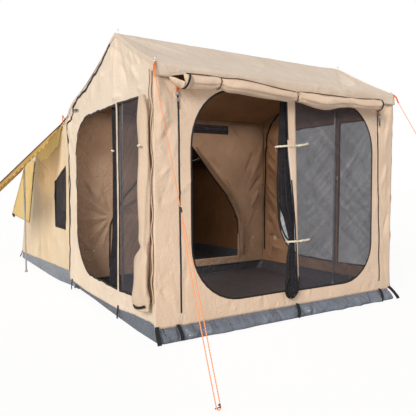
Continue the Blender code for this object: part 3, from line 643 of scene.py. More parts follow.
def guy_route():
    """From the eave corner through the runner, round the peg and back up to the runner."""
    reach = PEG_FOOT - ROPE_TOP
    aside = np.cross(ROPE_WAY, (0, 0, 1))
    aside /= np.linalg.norm(aside)
    centre = PEG_FOOT - ROPE_WAY * ROPE_LOOP

    def parted(t, more=0.0):
        return aside * (ROPE_LOOP * min(1, (t - RUNNER_SHARE) * 6) * 0.9 + more)

    route = [ROPE_TOP + reach * t for t in (0.0, 0.15, 0.3, 0.4, RUNNER_SHARE)]
    route += [ROPE_TOP + reach * t - parted(t) for t in (0.6, 0.72, 0.85)]
    for angle in np.radians(np.linspace(-90, 90, 9)):
        route.append(centre + ROPE_LOOP * (ROPE_WAY * math.cos(angle) + aside * math.sin(angle)))
    route += [ROPE_TOP + reach * t + parted(t, 0.0035) for t in (0.85, 0.72, 0.6, RUNNER_SHARE + 0.035)]
    return route


for side in ("left", "right"):
    line = smooth_line(spot(*np.array(mirrored(side, guy_route())).T), 0.012)
    run = arc_length(line)
    rings = strand_rings(line, ROPE_RADIUS, ROPE_SIDES, lobes=6, lobe_depth=0.06)
    turns = np.arange(ROPE_SIDES + 1) * 2 * math.pi * ROPE_RADIUS / ROPE_SIDES
    rope = loft(f"{side}_guy_rope_braid", rings, [orange_rope], closed=True, caps=True, uv=(run, turns))
    fit(rope, "tent")
    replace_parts(rope, f"{side}_guy_rope")
    print(side, "guy rope", round(float(run[-1]), 3), "m")

# %% [markdown]
# ## Cloth panels
#
# Each wall is a flat cut of canvas with door and window openings. A flat face would look like
# board, so a panel is filled with small triangles between its outline and its openings, and each
# of its points is moved out of the plane by the relief: ridges along listed creases, on a slow
# swell. The same relief carries the zips and seams, so that they lie on the cloth. A Solidify
# modifier gives the cloth its thickness and its inner face a second material.

# %% Helpers: outlines


def arc(centre, radii, start, end, steps=10):
    """Points of an ellipse's arc, from one angle to another in degrees."""
    turn = np.radians(np.linspace(start, end, steps + 1))
    return [(centre[0] + radii[0] * math.cos(a), centre[1] + radii[1] * math.sin(a)) for a in turn]


def walk(line, step, closed=False):
    """The same line with its long edges cut into pieces of about a step."""
    line = np.asarray(line, float)
    ends = np.concatenate([line, line[:1]]) if closed else line
    points = []
    for a, b in zip(ends, ends[1:]):
        pieces = max(1, int(round(np.linalg.norm(b - a) / step)))
        points += [a + (b - a) * t for t in np.arange(pieces) / pieces]
    return np.array(points if closed else points + [ends[-1]])


def rectangle(low, high):
    return [(low[0], low[1]), (high[0], low[1]), (high[0], high[1]), (low[0], high[1])]


def within(points, rings):
    """Which points lie inside the first ring and outside the others."""
    inside = np.zeros(len(points), bool)
    x, y = points[:, 0], points[:, 1]
    for ring in rings:
        for (x0, y0), (x1, y1) in zip(ring, np.roll(ring, -1, axis=0)):
            if y0 != y1:
                crosses = (y0 > y) != (y1 > y)
                inside ^= crosses & (x < (x1 - x0) * (y - y0) / (y1 - y0) + x0)
    return inside


def gap_to(points, edge):
    """How far each point is from the nearest point of an edge."""
    tree = KDTree(len(edge))
    for i, (x, y) in enumerate(edge):
        tree.insert((x, y, 0.0), i)
    tree.balance()
    return np.array([tree.find((x, y, 0.0))[2] for x, y in points])


def area_of(ring):
    """The area inside an outline."""
    x, y = np.asarray(ring, float).T
    return abs(float(np.dot(x, np.roll(y, -1)) - np.dot(y, np.roll(x, -1)))) / 2


# %% Helpers: creases and the relief they make


def strewn(seed, count, low, high, lean, spread, length, width, height):
    """Creases strewn between two corners, at angles round lean in degrees."""
    pick = np.random.default_rng(seed)
    made = []
    for _ in range(count):
        middle = pick.uniform(low, high)
        angle = math.radians(pick.normal(lean, spread))
        half = pick.uniform(*length) / 2 * np.array([math.cos(angle), math.sin(angle)])
        rise = pick.uniform(*height) * pick.choice([-1, 1])
        made.append((*(middle - half), *(middle + half), pick.uniform(*width), rise))
    return made


def pressed(lines, width, height):
    """Creases that were measured in the photograph, as (x0, y0, x1, y1)."""
    made = []
    for i, (x0, y0, x1, y1) in enumerate(lines):
        wide = min(width, 0.15 * math.hypot(x1 - x0, y1 - y0))
        made.append((x0, y0, x1, y1, wide, height * wide / width * (1 if i % 2 else -1)))
    return made


def fan(hub, ends, width, height):
    """Creases that spread from a hub where the cloth is held, alternately up and down."""
    return [(*hub, *end, width, height * (1 if i % 2 else -0.8)) for i, end in enumerate(ends)]


def relief(x, y, creases, swell, seed):
    """How far the cloth stands out of its plane. A crease is steep on one side, soft on the other."""
    x, y = np.asarray(x, float), np.asarray(y, float)
    out = swell * np.sin(4.3 * x + seed) * np.sin(3.1 * y + 2.0 * seed)
    out = out + 0.5 * swell * np.sin(8.9 * x + 5.3 * y + 3.0 * seed)
    for x0, y0, x1, y1, width, height in creases:
        ex, ey = x1 - x0, y1 - y0
        t = np.clip(((x - x0) * ex + (y - y0) * ey) / (ex * ex + ey * ey), 0, 1)
        dx, dy = x - x0 - t * ex, y - y0 - t * ey
        flank = np.where(ex * dy > ey * dx, width, 0.45 * width)
        out = out + height * np.exp(-((np.hypot(dx, dy) / flank) ** 1.2)) * np.sin(math.pi * t**0.7)
    return out


def side_plane(depth, sign):
    """The upright plane at u = depth, whose outer side has the sign's direction."""
    return lambda x, y, out: spot(depth + sign * out, x, y)


def front_plane(depth):
    """The upright plane at v = depth, whose outer side is the front one."""
    return lambda x, y, out: spot(x, depth - out, y)


def skin_on(plane, creases=(), swell=0.003, seed=1):
    """A function for the cloth's surface: plane coordinates and a distance out of it, to the world."""

    def skin(x, y, out=0.0):
        return plane(x, y, out + relief(x, y, creases, swell, seed))

    return skin


# %% Helpers: a piece of cloth from its outline


def filled(rings, grid, gap):
    """Fills the first ring round the others with triangles between points of a grid."""
    edge = np.concatenate(rings)
    clear = gap_to(grid, edge) > gap
    points = np.concatenate([edge, grid[clear & within(grid, rings)]])
    bonds, start = [], 0
    for ring in rings:
        bonds += [(start + i, start + (i + 1) % len(ring)) for i in range(len(ring))]
        start += len(ring)
    found = delaunay_2d_cdt([Vector(p) for p in points], bonds, [], 0, 1e-7)
    flat, triangles = np.array([v[:] for v in found[0]]), np.array([list(f) for f in found[2]])
    return flat, triangles[within(flat[triangles].mean(axis=1), rings)]


def thickened(obj, thickness=CLOTH, offset=0.0):
    """Gives a sheet its thickness, and its other face the second material."""
    solid = obj.modifiers.new("thickness", "SOLIDIFY")
    solid.thickness = thickness
    solid.offset = offset
    solid.material_offset = 1
    return obj


def cloth_panel(name, outline, holes, skin, faces, step=0.016, thickness=CLOTH):
    """A cloth with openings. Its faces are two materials, for its outer side and its inner one."""
    rings = [walk(ring, step * 0.8, closed=True) for ring in [outline, *holes]]
    low, high = rings[0].min(0), rings[0].max(0)
    rows = np.arange(low[1] + step / 3, high[1], step * 0.87)
    columns = np.arange(low[0] - step / 2, high[0], step)
    grid = np.array([(x + (j % 2) * step / 2, y) for j, y in enumerate(rows) for x in columns])
    flat, triangles = filled(rings, grid, 0.5 * step)
    verts = skin(flat[:, 0], flat[:, 1])
    a, b, c = (verts[triangles[0][i]] for i in range(3))
    outwards = skin(*flat[triangles[0][0]], 0.01) - skin(*flat[triangles[0][0]], 0.0)
    if np.dot(np.cross(b - a, c - a), outwards) < 0:
        triangles = triangles[:, ::-1]
    return thickened(mesh_object(name, verts, triangles.tolist(), faces), thickness)


def hang(obj, node, cut, body="tent", slot="wall_canvas", held="stretched", area=None, rests_on=()):
    """Hangs a sheet of cloth on its body, in the place of its CAD node if it has one."""
    fit(obj, body)
    if node:
        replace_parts(obj, node)


def panel(name, node, outline, holes, skin, faces, cut, step=0.016, thickness=CLOTH, **how):
    """A cloth panel that hangs on its body. The area that its openings leave of it is printed."""
    area = area_of(outline) - sum(area_of(hole) for hole in holes)
    hang(cloth_panel(name, outline, holes, skin, faces, step, thickness), node, cut, area=area, **how)
    print(name, round(area, 2), "square metres")


def net(name, node, outline, plane, creases, swell, seed, cut, step=0.022, **how):
    """A panel of insect mesh."""
    skin = skin_on(plane, creases, swell, seed)
    panel(name, node, outline, [], skin, [insect_mesh] * 2, cut, step, NET_CLOTH, slot="insect_mesh", **how)


# %% Helpers: zips and seams that lie on a panel
TOOTH_MM = 6.0
ZIP_HALF = [(-0.5, 0.0), (-0.5, 0.4), (-0.2, 0.45), (-0.14, 1.0)]
ZIP_SECTION = ZIP_HALF + [(-x, h) for x, h in ZIP_HALF[::-1]]
COIL_FACES = [0, 0, 1, 1, 1, 0, 0, 0]
TAPE_SECTION = [(-0.5, 0.0), (-0.5, 0.8), (-0.44, 1.0), (0.44, 1.0), (0.5, 0.8), (0.5, 0.0)]


def joined(name, parts):
    """Several meshes as one piece."""
    bpy.ops.object.select_all(action="DESELECT")
    for part in parts:
        part.select_set(True)
    bpy.context.view_layer.objects.active = parts[0]
    if len(parts) > 1:
        bpy.ops.object.join()
    parts[0].name = name
    parts[0].data.name = name
    return parts[0]


def strips(name, lines, skin, section, materials, out, width, height, step, slot, faces_of=None):
    """Strips of one section along lines on a skin. A section with a coil gets teeth."""
    offsets = np.array(section)
    parts = []
    for line in lines:
        line = walk(line, step)
        way = ways(line)
        side = np.stack([-way[:, 1], way[:, 0]], axis=1)
        rise = np.tile(offsets[:, 1] * height, (len(line), 1))
        if faces_of:
            rise[1::2] = np.where(offsets[:, 1] > 0.9, rise[1::2] * 0.55, rise[1::2])
        at = line[:, None] + side[:, None] * (offsets[:, :1] * width)
        rings = skin(at[..., 0], at[..., 1], out + rise)
        uv = (arc_length(line), [x * width for x, _ in section] + [0])
        parts.append(loft(name, rings, materials, closed=True, caps=True, uv=uv, faces_of=faces_of))
    fit(joined(name, parts), "tent")


def zips(name, lines, skin, out=0.0012, width=0.015):
    """Zips along lines on a skin: woven tape with a moulded coil."""
    size = (out, width, 0.0032, TOOTH_MM / 1000)
    strips(name, lines, skin, ZIP_SECTION, [zip_tape, zip_coil], *size, "black_plastic", COIL_FACES)


def tapes(name, lines, skin, finish, out=0.001, width=0.02, height=0.0014):
    """Seams and hems along lines on a skin."""
    strips(name, lines, skin, TAPE_SECTION, [finish], out, width, height, 0.015, "wall_canvas")


# %% [markdown]
# ## The front wall
#
# The front wall has two door openings beside a mullion that leans and narrows towards the top. It
# is held only by its zips and the tubes behind it, so the strips of canvas beside the openings
# ripple where the doors pull at them.

# %% The front wall's canvas
FRONT_SILL, FRONT_DOOR_TOP = 0.243, 1.96


def front_openings(lap=0.0):
    """The outlines of the two openings, each wider by the lap all round."""
    left = [(1.35 + lap, 1.236), (1.39 + lap, 0.921), (1.413 + lap, 0.629)]
    left += [(1.437 + lap, FRONT_SILL + 0.002 - lap)]
    left += arc((0.8, 0.72), (0.47 + lap, 0.477 + lap), 270, 180)
    left += arc((0.722, 1.5), (0.4 + lap, FRONT_DOOR_TOP - 1.5 + lap), 180, 90)
    left += [(1.281 + lap, FRONT_DOOR_TOP + lap), (1.302 + lap, 1.589)]
    right = [(1.458 - lap, FRONT_SILL - 0.008 - lap)]
    right += arc((2.05, 0.6), (0.37 + lap, 0.368 + lap), 270, 360)
    right += arc((2.0, 1.5), (0.412 + lap, FRONT_DOOR_TOP - 1.51 + lap), 0, 90)
    right += [(1.385 - lap, FRONT_DOOR_TOP - 0.01 + lap)]
    return left, right


front_lines = [
    (0.05, 1.94, 0.08, 1.77), (0.08, 1.77, 0.03, 1.62), (0.15, 1.68, 0.03, 1.48), (0.13, 1.35, 0.03, 1.24),
    (0.08, 1.12, 0.04, 1.03), (0.03, 0.52, 0.05, 0.42), (0.05, 0.42, 0.1, 0.29), (0.06, 0.49, 0.13, 0.42),
    (0.25, 1.85, 0.32, 1.81), (0.27, 1.93, 0.38, 1.84), (2.66, 1.9, 2.6, 1.7), (2.64, 1.4, 2.56, 1.15),
    (2.68, 0.9, 2.6, 0.62), (2.45, 1.9, 2.38, 1.82), (2.4, 0.34, 2.52, 0.26),
]
front_creases = pressed(front_lines, 0.034, 0.018)
front_creases += fan((0.02, 2.05), [(0.3, 1.72), (0.17, 1.45), (0.42, 1.9), (0.06, 1.3)], 0.045, 0.014)
front_creases += fan((2.7, 2.05), [(2.46, 1.75), (2.58, 1.4), (2.3, 1.93)], 0.045, 0.014)
front_creases += strewn(3, 20, (0.02, 0.15), (0.3, 2.0), 80, 16, (0.2, 0.5), (0.016, 0.028), (0.002, 0.007))
front_creases += strewn(4, 20, (2.42, 0.15), (2.7, 2.0), 95, 16, (0.2, 0.5), (0.016, 0.028), (0.002, 0.007))
front_creases += strewn(5, 26, (0.1, 0.11), (2.6, 0.23), 78, 24, (0.06, 0.16), (0.014, 0.024), (0.002, 0.007))
front_creases += strewn(6, 12, (1.34, 0.4), (1.42, 1.9), 88, 5, (0.3, 0.5), (0.008, 0.012), (0.001, 0.003))

front_skin = skin_on(front_plane(-0.0015), front_creases, 0.002, 1)
CORNER_LAP = 0.004
FLARE = 0.028
front_outline = [
    (-CORNER_LAP, CANVAS_FOOT), (WIDTH + FLARE, CANVAS_FOOT), (WIDTH + 0.5 * FLARE, 0.16),
    (WIDTH + CORNER_LAP, 0.32), (WIDTH + CORNER_LAP, EAVE_HEIGHT - 0.012),
    (-CORNER_LAP, EAVE_HEIGHT - 0.012),
]
front_cloth = (front_outline, front_openings(), front_skin, [wall_canvas, wall_inside], (2.75, 2.03))
panel("front_wall_canvas", "front_wall", *front_cloth, rests_on=["eave_tube"])

# %% Zips round the front doors
zips("front_door_zips", front_openings(lap=0.004), front_skin)
long_left = [(0.2, 1.895), (0.203, 1.86), (0.212, 1.3), (0.222, 0.7), (0.226, 0.195)]
long_right = [(2.497, 1.895), (2.5, 1.7), (2.507, 1.5), (2.512, 1.25), (2.527, 1.03), (2.532, 0.85)]
long_right += [(2.55, 0.618), (2.549, 0.45), (2.562, 0.3), (2.562, 0.19)]
zips("front_wall_long_zips", [long_left, smooth_line(long_right, 0.05)], front_skin, out=0.001)

# %% [markdown]
# ## The gable walls
#
# The gables rise to the ridge and have a door of two halves each, split by a mullion. A black zip
# that wanders with the cloth joins each gable to the roof, a hand's width inside the edge.

# %% The gables' canvas
SIDE_SILL, SIDE_DOOR_TOP = 0.27, 1.887
DOOR_CORNERS = {
    "left": (((1.45, 0.72), (0.445, 0.45)), ((1.5, 1.5), (0.41, 0.375))),
    "right": (((1.31, 0.79), (0.475, 0.52)), ((1.4, 1.5), (0.385, 0.375))),
}
ROOM_ROOF = [
    (-0.014, 2.102), (0.237, 2.223), (0.489, 2.355), (0.74, 2.497), (0.988, 2.387), (1.236, 2.29),
    (1.484, 2.205), (1.732, 2.134), (1.98, 2.075), (2.08, 2.035), (2.15, 1.99), (2.2, 1.945),
]


def side_openings(side, lap=0.0):
    """The outlines of a gable's front and rear opening, on either side of its mullion."""
    front = [(0.205 - lap, SIDE_SILL + 0.025 - lap), (0.705 + lap, SIDE_SILL - lap)]
    front += [(0.705 + lap, SIDE_DOOR_TOP + lap), (0.205 - lap, SIDE_DOOR_TOP - 0.005 + lap)]
    (low, low_radii), (high, high_radii) = DOOR_CORNERS[side]
    rear = [(0.765 - lap, SIDE_SILL - lap)]
    rear += arc(low, (low_radii[0] + lap, low_radii[1] + lap), 270, 360)
    rear += arc(high, (high_radii[0] + lap, high_radii[1] + lap), 0, 90)
    return front, rear + [(0.765 - lap, SIDE_DOOR_TOP + lap)]


def roof_height(line, v):
    """How high a roof's line is at v."""
    return np.interp(v, [p[0] for p in line], [p[1] for p in line])


gable_lines = [
    (0.81, 2.4, 0.65, 2.3), (0.83, 2.37, 0.86, 2.16), (0.54, 2.27, 0.41, 2.16), (0.41, 2.16, 0.24, 1.99),
    (0.51, 2.34, 0.47, 2.25), (0.45, 2.3, 0.41, 2.22), (0.41, 2.28, 0.35, 2.19), (0.35, 2.25, 0.26, 2.15),
    (0.29, 2.21, 0.2, 2.12), (0.62, 2.4, 0.58, 2.34), (0.67, 2.24, 0.5, 2.01), (1.03, 2.22, 1.2, 2.03),
    (1.12, 2.12, 1.2, 2.02), (0.96, 2.14, 0.94, 2.03), (1.62, 2.07, 1.56, 1.99), (0.84, 1.96, 0.57, 1.94),
    (0.44, 1.95, 0.42, 1.92), (0.3, 1.96, 0.15, 1.94), (0.06, 2.09, 0.13, 2.00), (1.35, 2.16, 1.42, 1.98),
    (1.8, 1.92, 1.95, 1.7),
]
gable_creases = pressed(gable_lines, 0.04, 0.024)
gable_creases += fan((0.74, 2.46), [(0.45, 1.95), (0.8, 1.93), (1.05, 1.97), (1.3, 2.05)], 0.05, 0.02)
gable_creases += fan((2.17, 1.93), [(1.85, 1.8), (1.98, 1.55), (1.75, 2.04), (2.1, 1.4)], 0.045, 0.018)
gable_creases += strewn(11, 16, (1.92, 0.3), (2.14, 1.9), 82, 18, (0.2, 0.6), (0.018, 0.032), (0.003, 0.009))
gable_creases += strewn(12, 34, (0.1, 0.12), (2.1, 0.25), 70, 30, (0.06, 0.18), (0.014, 0.026), (0.003, 0.008))
gable_creases += strewn(13, 12, (0.01, 0.3), (0.2, 1.9), 86, 8, (0.3, 0.6), (0.018, 0.03), (0.003, 0.008))
right_lines = [
    (2.02, 1.65, 1.83, 1.48), (2.00, 1.78, 1.79, 1.55), (2.02, 1.51, 1.8, 1.3), (2.02, 1.3, 1.84, 1.14),
    (2.01, 1.09, 1.8, 0.83), (2.03, 0.95, 1.77, 0.62), (2.01, 0.81, 1.82, 0.66), (2.01, 0.47, 1.71, 0.43),
    (1.92, 0.34, 1.67, 0.3), (2.03, 1.4, 1.82, 1.22), (2.03, 1.2, 1.82, 0.98), (2.03, 0.7, 1.84, 0.55),
]
right_creases = gable_creases + pressed(right_lines, 0.045, 0.034)

gable_outline = [(0.002, 0.126), (0.002, EAVE_HEIGHT - 0.01)]
gable_outline += [(v, roof_height(ROOM_ROOF, v) - 0.0045) for v in np.arange(0.06, 2.19, 0.04)]
gable_outline += [(ROOM_DEPTH, 1.86), (ROOM_DEPTH, 0.106), (2.09, 0.104), (1.68, 0.082)]
gable_outline += [(1.31, 0.076), (0.95, 0.086), (0.78, 0.088), (0.41, 0.12), (0.09, 0.134)]


def wall_skins(left_creases, right_creases, swell, left_seed, right_seed):
    """The skins of a left and a right wall."""
    return {
        "left": skin_on(side_plane(0.0015, -1), left_creases, swell, left_seed),
        "right": skin_on(side_plane(WIDTH - 0.0015, 1), right_creases, swell, right_seed),
    }


gable_skins = wall_skins(gable_creases, right_creases, 0.003, 2, 5)
for side, skin in gable_skins.items():
    cloth = (gable_outline, side_openings(side), skin, [gable_canvas, wall_inside], (2.2, 2.41))
    panel(f"{side}_gable_canvas", f"{side}_gable_wall", *cloth, rests_on=[f"{side}_ridge_leg"])

# %% Zips and seams of the gables
rake_zip = [
    (0.842, 2.42), (0.9, 2.402), (1.004, 2.35), (1.137, 2.305), (1.278, 2.247), (1.427, 2.196),
    (1.53, 2.158), (1.616, 2.137), (1.783, 2.09), (1.9, 2.055), (1.986, 2.02), (2.015, 1.98),
    (2.04, 1.95), (2.12, 1.885), (2.165, 1.845), (2.15, 1.78), (2.132, 1.7), (2.15, 1.6),
    (2.168, 1.35), (2.16, 1.15), (2.176, 1.009), (2.17, 0.8), (2.186, 0.6), (2.18, 0.4),
    (2.188, 0.209),
]
for side, skin in gable_skins.items():
    edges = []
    for edge in side_openings(side, lap=0.004):
        line = walk(edge, 0.02, closed=True)
        along = arc_length(np.concatenate([line, line[:1]]))[:-1]
        wander = 0.005 * np.sin(21 * along) + 0.004 * np.sin(47 * along + 1)
        line += wander[:, None] * np.where(line[:, :1] > 1.0, 1.0, 0.3) * np.array([[0.8, 0.6]])
        edges.append(np.concatenate([line, line[:1]]))
    zips(f"{side}_gable_door_zips", edges, skin, width=0.018)
    pulled = smooth_line(rake_zip, 0.02)
    along = arc_length(pulled)
    pulled[:, 1] += 0.007 * np.sin(14 * along) + 0.005 * np.sin(37 * along + 1)
    steep = np.clip((pulled[:, 0] - 2.0) / 0.12, 0, 1)
    pulled[:, 0] += steep * (0.009 * np.sin(17 * along) + 0.006 * np.sin(41 * along))
    zips(f"{side}_rake_zip", [pulled], skin, out=0.006, width=0.022)
    seams = [[(0.735, 2.46), (0.735, SIDE_DOOR_TOP + 0.01)], [(0.012, 0.12), (0.012, 2.08)]]
    tapes(f"{side}_gable_seams", seams, skin, gable_canvas, width=0.018)
    roof_side = [(v, roof_height(ROOM_ROOF, v) - 0.009) for v in np.arange(-0.008, 2.19, 0.03)]
    tapes(f"{side}_rake_hem", [roof_side], skin, roof_canvas, out=0.004, width=0.034, height=0.002)

# %% [markdown]
# ## The sleeping tent's walls
#
# Behind the room the sleeping tent gets lower towards the back. Its side walls each have a
# window of insect mesh, and so has its leaning rear wall.

# %% Side walls of the sleeping tent
TENT_ROOF = [(2.212, 1.945), (2.627, 1.85), (3.041, 1.762), (3.456, 1.68), (3.87, 1.604), (4.285, 1.535)]
TENT_FRONT_V = ROOM_DEPTH + 0.008
REAR_LEAN = 0.577


def rear_wall_v(height):
    """Where the rear wall is at a height. Its foot stands behind its top by the lean."""
    return REAR_EAVE_V - 0.012 + REAR_LEAN * (REAR_EAVE_HEIGHT - height) / REAR_EAVE_HEIGHT


def window_outline(lap=0.0):
    """A side window, which is lower at its rear like the roof over it."""
    front, rear, sill = 2.33 - lap, 2.785 + lap, 0.673 - lap
    return [(front, sill), (rear, sill), (rear, 1.197 + lap), (front, 1.385 + lap)]


tent_lines = [(3.64, 1.44, 3.23, 1.17), (3.23, 1.17, 2.9, 0.92), (3.53, 1.44, 2.9, 0.84)]
tent_lines += [(3.71, 1.4, 3.35, 0.97), (3.64, 1.51, 2.9, 1.3), (3.27, 1.3, 3.04, 0.98)]
tent_creases = pressed(tent_lines, 0.055, 0.026)
tent_creases += fan((2.24, 1.9), [(2.6, 1.6), (2.45, 1.45), (2.95, 1.7), (2.32, 1.5)], 0.05, 0.016)
tent_creases += fan((4.26, 1.5), [(3.8, 1.3), (4.0, 1.1), (3.5, 1.45), (4.15, 0.9)], 0.034, 0.012)
tent_creases += strewn(21, 34, (2.25, 0.2), (4.4, 1.5), 80, 28, (0.25, 0.8), (0.02, 0.04), (0.003, 0.009))

tent_outline = [(TENT_FRONT_V, 0.198), (TENT_FRONT_V, 1.938)]
tent_outline += [(v, roof_height(TENT_ROOF, v) - 0.0045) for v in np.arange(2.27, 4.25, 0.05)]
tent_outline += [(rear_wall_v(1.515), 1.515), (rear_wall_v(CANVAS_FOOT), CANVAS_FOOT)]
for side, skin in wall_skins(tent_creases, tent_creases, 0.004, 3, 6).items():
    cloth = (tent_outline, [window_outline()], skin, [tent_canvas, sleeping_inside], (2.62, 1.85), 0.02)
    panel(f"tent_{side}_wall_canvas", f"tent_{side}_wall", *cloth, rests_on=[f"{side}_tent_rafter"])
    edging = window_outline(0.006)
    zips(f"{side}_window_edging", [edging + edging[:1]], skin, width=0.02)

# %% The rear wall
rear_foot = spot(0, rear_wall_v(0.0), 0.0)
rear_top = spot(0, rear_wall_v(REAR_EAVE_HEIGHT), REAR_EAVE_HEIGHT)
REAR_SLOPE = float(np.linalg.norm(rear_top - rear_foot))
up_wall = (rear_top - rear_foot) / REAR_SLOPE
out_of_wall = np.cross(up_wall, (1.0, 0.0, 0.0))
out_of_wall *= np.sign(out_of_wall[1])


def rear_plane(x, y, out):
    """x along u, y up the leaning wall."""
    arrays = np.broadcast_arrays(*(np.asarray(a, float) for a in (x, y, out)))
    x, y, out = (part[..., None] for part in arrays)
    return rear_foot + x * np.array([1.0, 0.0, 0.0]) + y * up_wall + (out - 0.003) * out_of_wall


def rear_window(lap=0.0):
    inset = 0.56
    return rectangle((inset - lap, 0.78 - lap), (WIDTH - inset + lap, 1.36 + lap))


rear_creases = strewn(31, 40, (0.1, 0.2), (2.6, 1.5), 86, 24, (0.2, 0.8), (0.02, 0.04), (0.003, 0.009))
rear_skin = skin_on(rear_plane, rear_creases, 0.004, 4)
low, high = CANVAS_FOOT * REAR_SLOPE / REAR_EAVE_HEIGHT, REAR_SLOPE - 0.03
rear_outline = rectangle((0.006, low), (WIDTH - 0.006, high))
rear_cloth = (rear_outline, [rear_window()], rear_skin, [tent_canvas, sleeping_inside], (2.73, 1.6), 0.022)
panel("tent_rear_wall_canvas", "tent_rear_wall", *rear_cloth, rests_on=["rear_tube"])
zips("rear_window_edging", [rear_window() + rear_window()[:1]], rear_skin, width=0.02)

# %% Window meshes
NET_LAP = 0.015

mesh_creases = strewn(41, 6, (2.35, 0.7), (2.8, 1.3), 60, 40, (0.2, 0.5), (0.015, 0.03), (0.001, 0.003))
for side, plane in (("left", side_plane(0.005, -1)), ("right", side_plane(WIDTH - 0.005, 1))):
    pane = (window_outline(NET_LAP), plane, mesh_creases, 0.001, 7, (0.5, 0.75), 0.05)
    net(f"{side}_window_net", f"{side}_window_mesh", *pane)


def behind_rear_wall(x, y, out):
    return rear_plane(x, y, out - 0.004)


pane = (rear_window(NET_LAP), behind_rear_wall, [], 0.0008, 8, (1.63, 0.61), 0.06)
net("rear_window_net", "rear_window_mesh", *pane)

# %% [markdown]
# ## The divider
#
# A wall of thinner canvas closes the sleeping tent off from the room. Its door is a wide A shape:
# the left leaf is zipped shut and hangs in diagonal creases, and the right leaf is tied back along
# the slanting edge. Over the door is a vent of mesh.

# %% The divider's canvas and its left leaf


def divider_opening():
    """The door's outline, whose slanting legs meet in the middle of the tent."""
    right_leg = [(1.36, 1.8), (1.56, 1.66), (1.91, 1.23), (2.09, 1.035), (2.2, 0.85), (2.27, 0.7)]
    left_leg = [(WIDTH - u, h) for u, h in right_leg[1:]]
    return [(0.44, 0.2), (2.28, 0.2), (2.285, 0.5), *right_leg[::-1], *left_leg]


divider_lines = [
    (1.86, 1.5, 2.07, 1.27), (2.07, 1.27, 2.3, 0.93), (2.09, 1.21, 2.15, 1.12), (2.69, 1.72, 2.52, 1.33),
    (2.52, 1.33, 2.35, 0.96), (2.68, 1.6, 2.32, 0.92), (2.68, 1.3, 2.45, 1.03), (2.63, 1.09, 2.49, 0.84),
    (2.54, 1.62, 2.4, 1.3), (2.37, 0.61, 2.46, 0.43), (2.46, 0.43, 2.54, 0.25), (2.12, 1.97, 2.69, 1.95),
    (2.2, 1.93, 2.4, 1.75), (0.16, 1.23, 0.41, 0.85),
]
divider_creases = pressed(divider_lines, 0.042, 0.03)
fan_ends = [(0.3, 1.6), (0.16, 1.48), (0.08, 1.3), (0.04, 1.12), (0.03, 0.95), (0.03, 0.78), (0.05, 0.62)]
fan_ends += [(0.1, 0.46), (0.18, 0.34), (0.28, 0.27)]
divider_creases += fan((0.47, 0.8), fan_ends, 0.022, 0.012)
divider_creases += strewn(51, 34, (0.05, 0.2), (2.65, 1.9), 60, 35, (0.2, 0.6), (0.018, 0.034), (0.003, 0.008))
divider_skin = skin_on(front_plane(DIVIDER_V), divider_creases, 0.002, 9)
divider_outline = [(0.085, 0.012), (WIDTH - 0.085, 0.012), (WIDTH - 0.006, 0.13), (WIDTH - 0.006, 2.003)]
divider_outline += [(0.006, 2.003), (0.006, 0.13)]
VENT = rectangle((1.1, 1.835), (2.12, 1.951))
divider_faces = [inner_tent, sleeping_inside]
divider_cloth = (divider_outline, [divider_opening(), VENT], divider_skin, divider_faces, (2.71, 1.99))
panel("divider_canvas", "divider_wall", *divider_cloth, slot="inner_canvas", rests_on=["knee_tube"])

vent_skin = skin_on(front_plane(DIVIDER_V + 0.0035), [], 0.0004, 10)
vent_mesh = rectangle((1.085, 1.82), (2.135, 1.966))
pane = cloth_panel("divider_vent_net", vent_mesh, [], vent_skin, [insect_mesh] * 2, 0.05, NET_CLOTH)
hang(pane, "divider_vent_mesh", (1.05, 0.146), slot="insect_mesh")
leaf = [(0.425, 0.185), (1.14, 0.185), (1.14, 1.78), (0.81, 1.47), (0.62, 1.23), (0.425, 0.95)]
leaf_creases = fan((0.45, 0.82), [(1.0, 1.5), (1.1, 1.2), (1.1, 0.8), (0.9, 0.4), (0.6, 0.3)], 0.045, 0.016)
leaf_creases += strewn(52, 14, (0.45, 0.2), (1.1, 1.2), 60, 20, (0.2, 0.5), (0.014, 0.022), (0.001, 0.003))
leaf_skin = skin_on(front_plane(DIVIDER_V + 0.0045), leaf_creases, 0.001, 11)
leaf_cloth = (leaf, [], leaf_skin, divider_faces, (0.715, 1.6))
panel("divider_left_leaf", "divider_left_flap", *leaf_cloth, body="divider_flap", slot="inner_canvas")
zips("divider_door_zip", [divider_opening()[2:] + divider_opening()[:1]], divider_skin)

# %% [markdown]
# ## The roofs
#
# Each roof is one long cloth laid over the tubes from front to back. Its section comes from the
# CAD model, and it sags a little between the tubes and across the tent. The front edge hangs
# down as a valance, in small waves where it isn't held.

# %% Helper: a cloth across the tent from its section
ROOF_SAG = 0.016
VALANCE_HEIGHT = 0.11


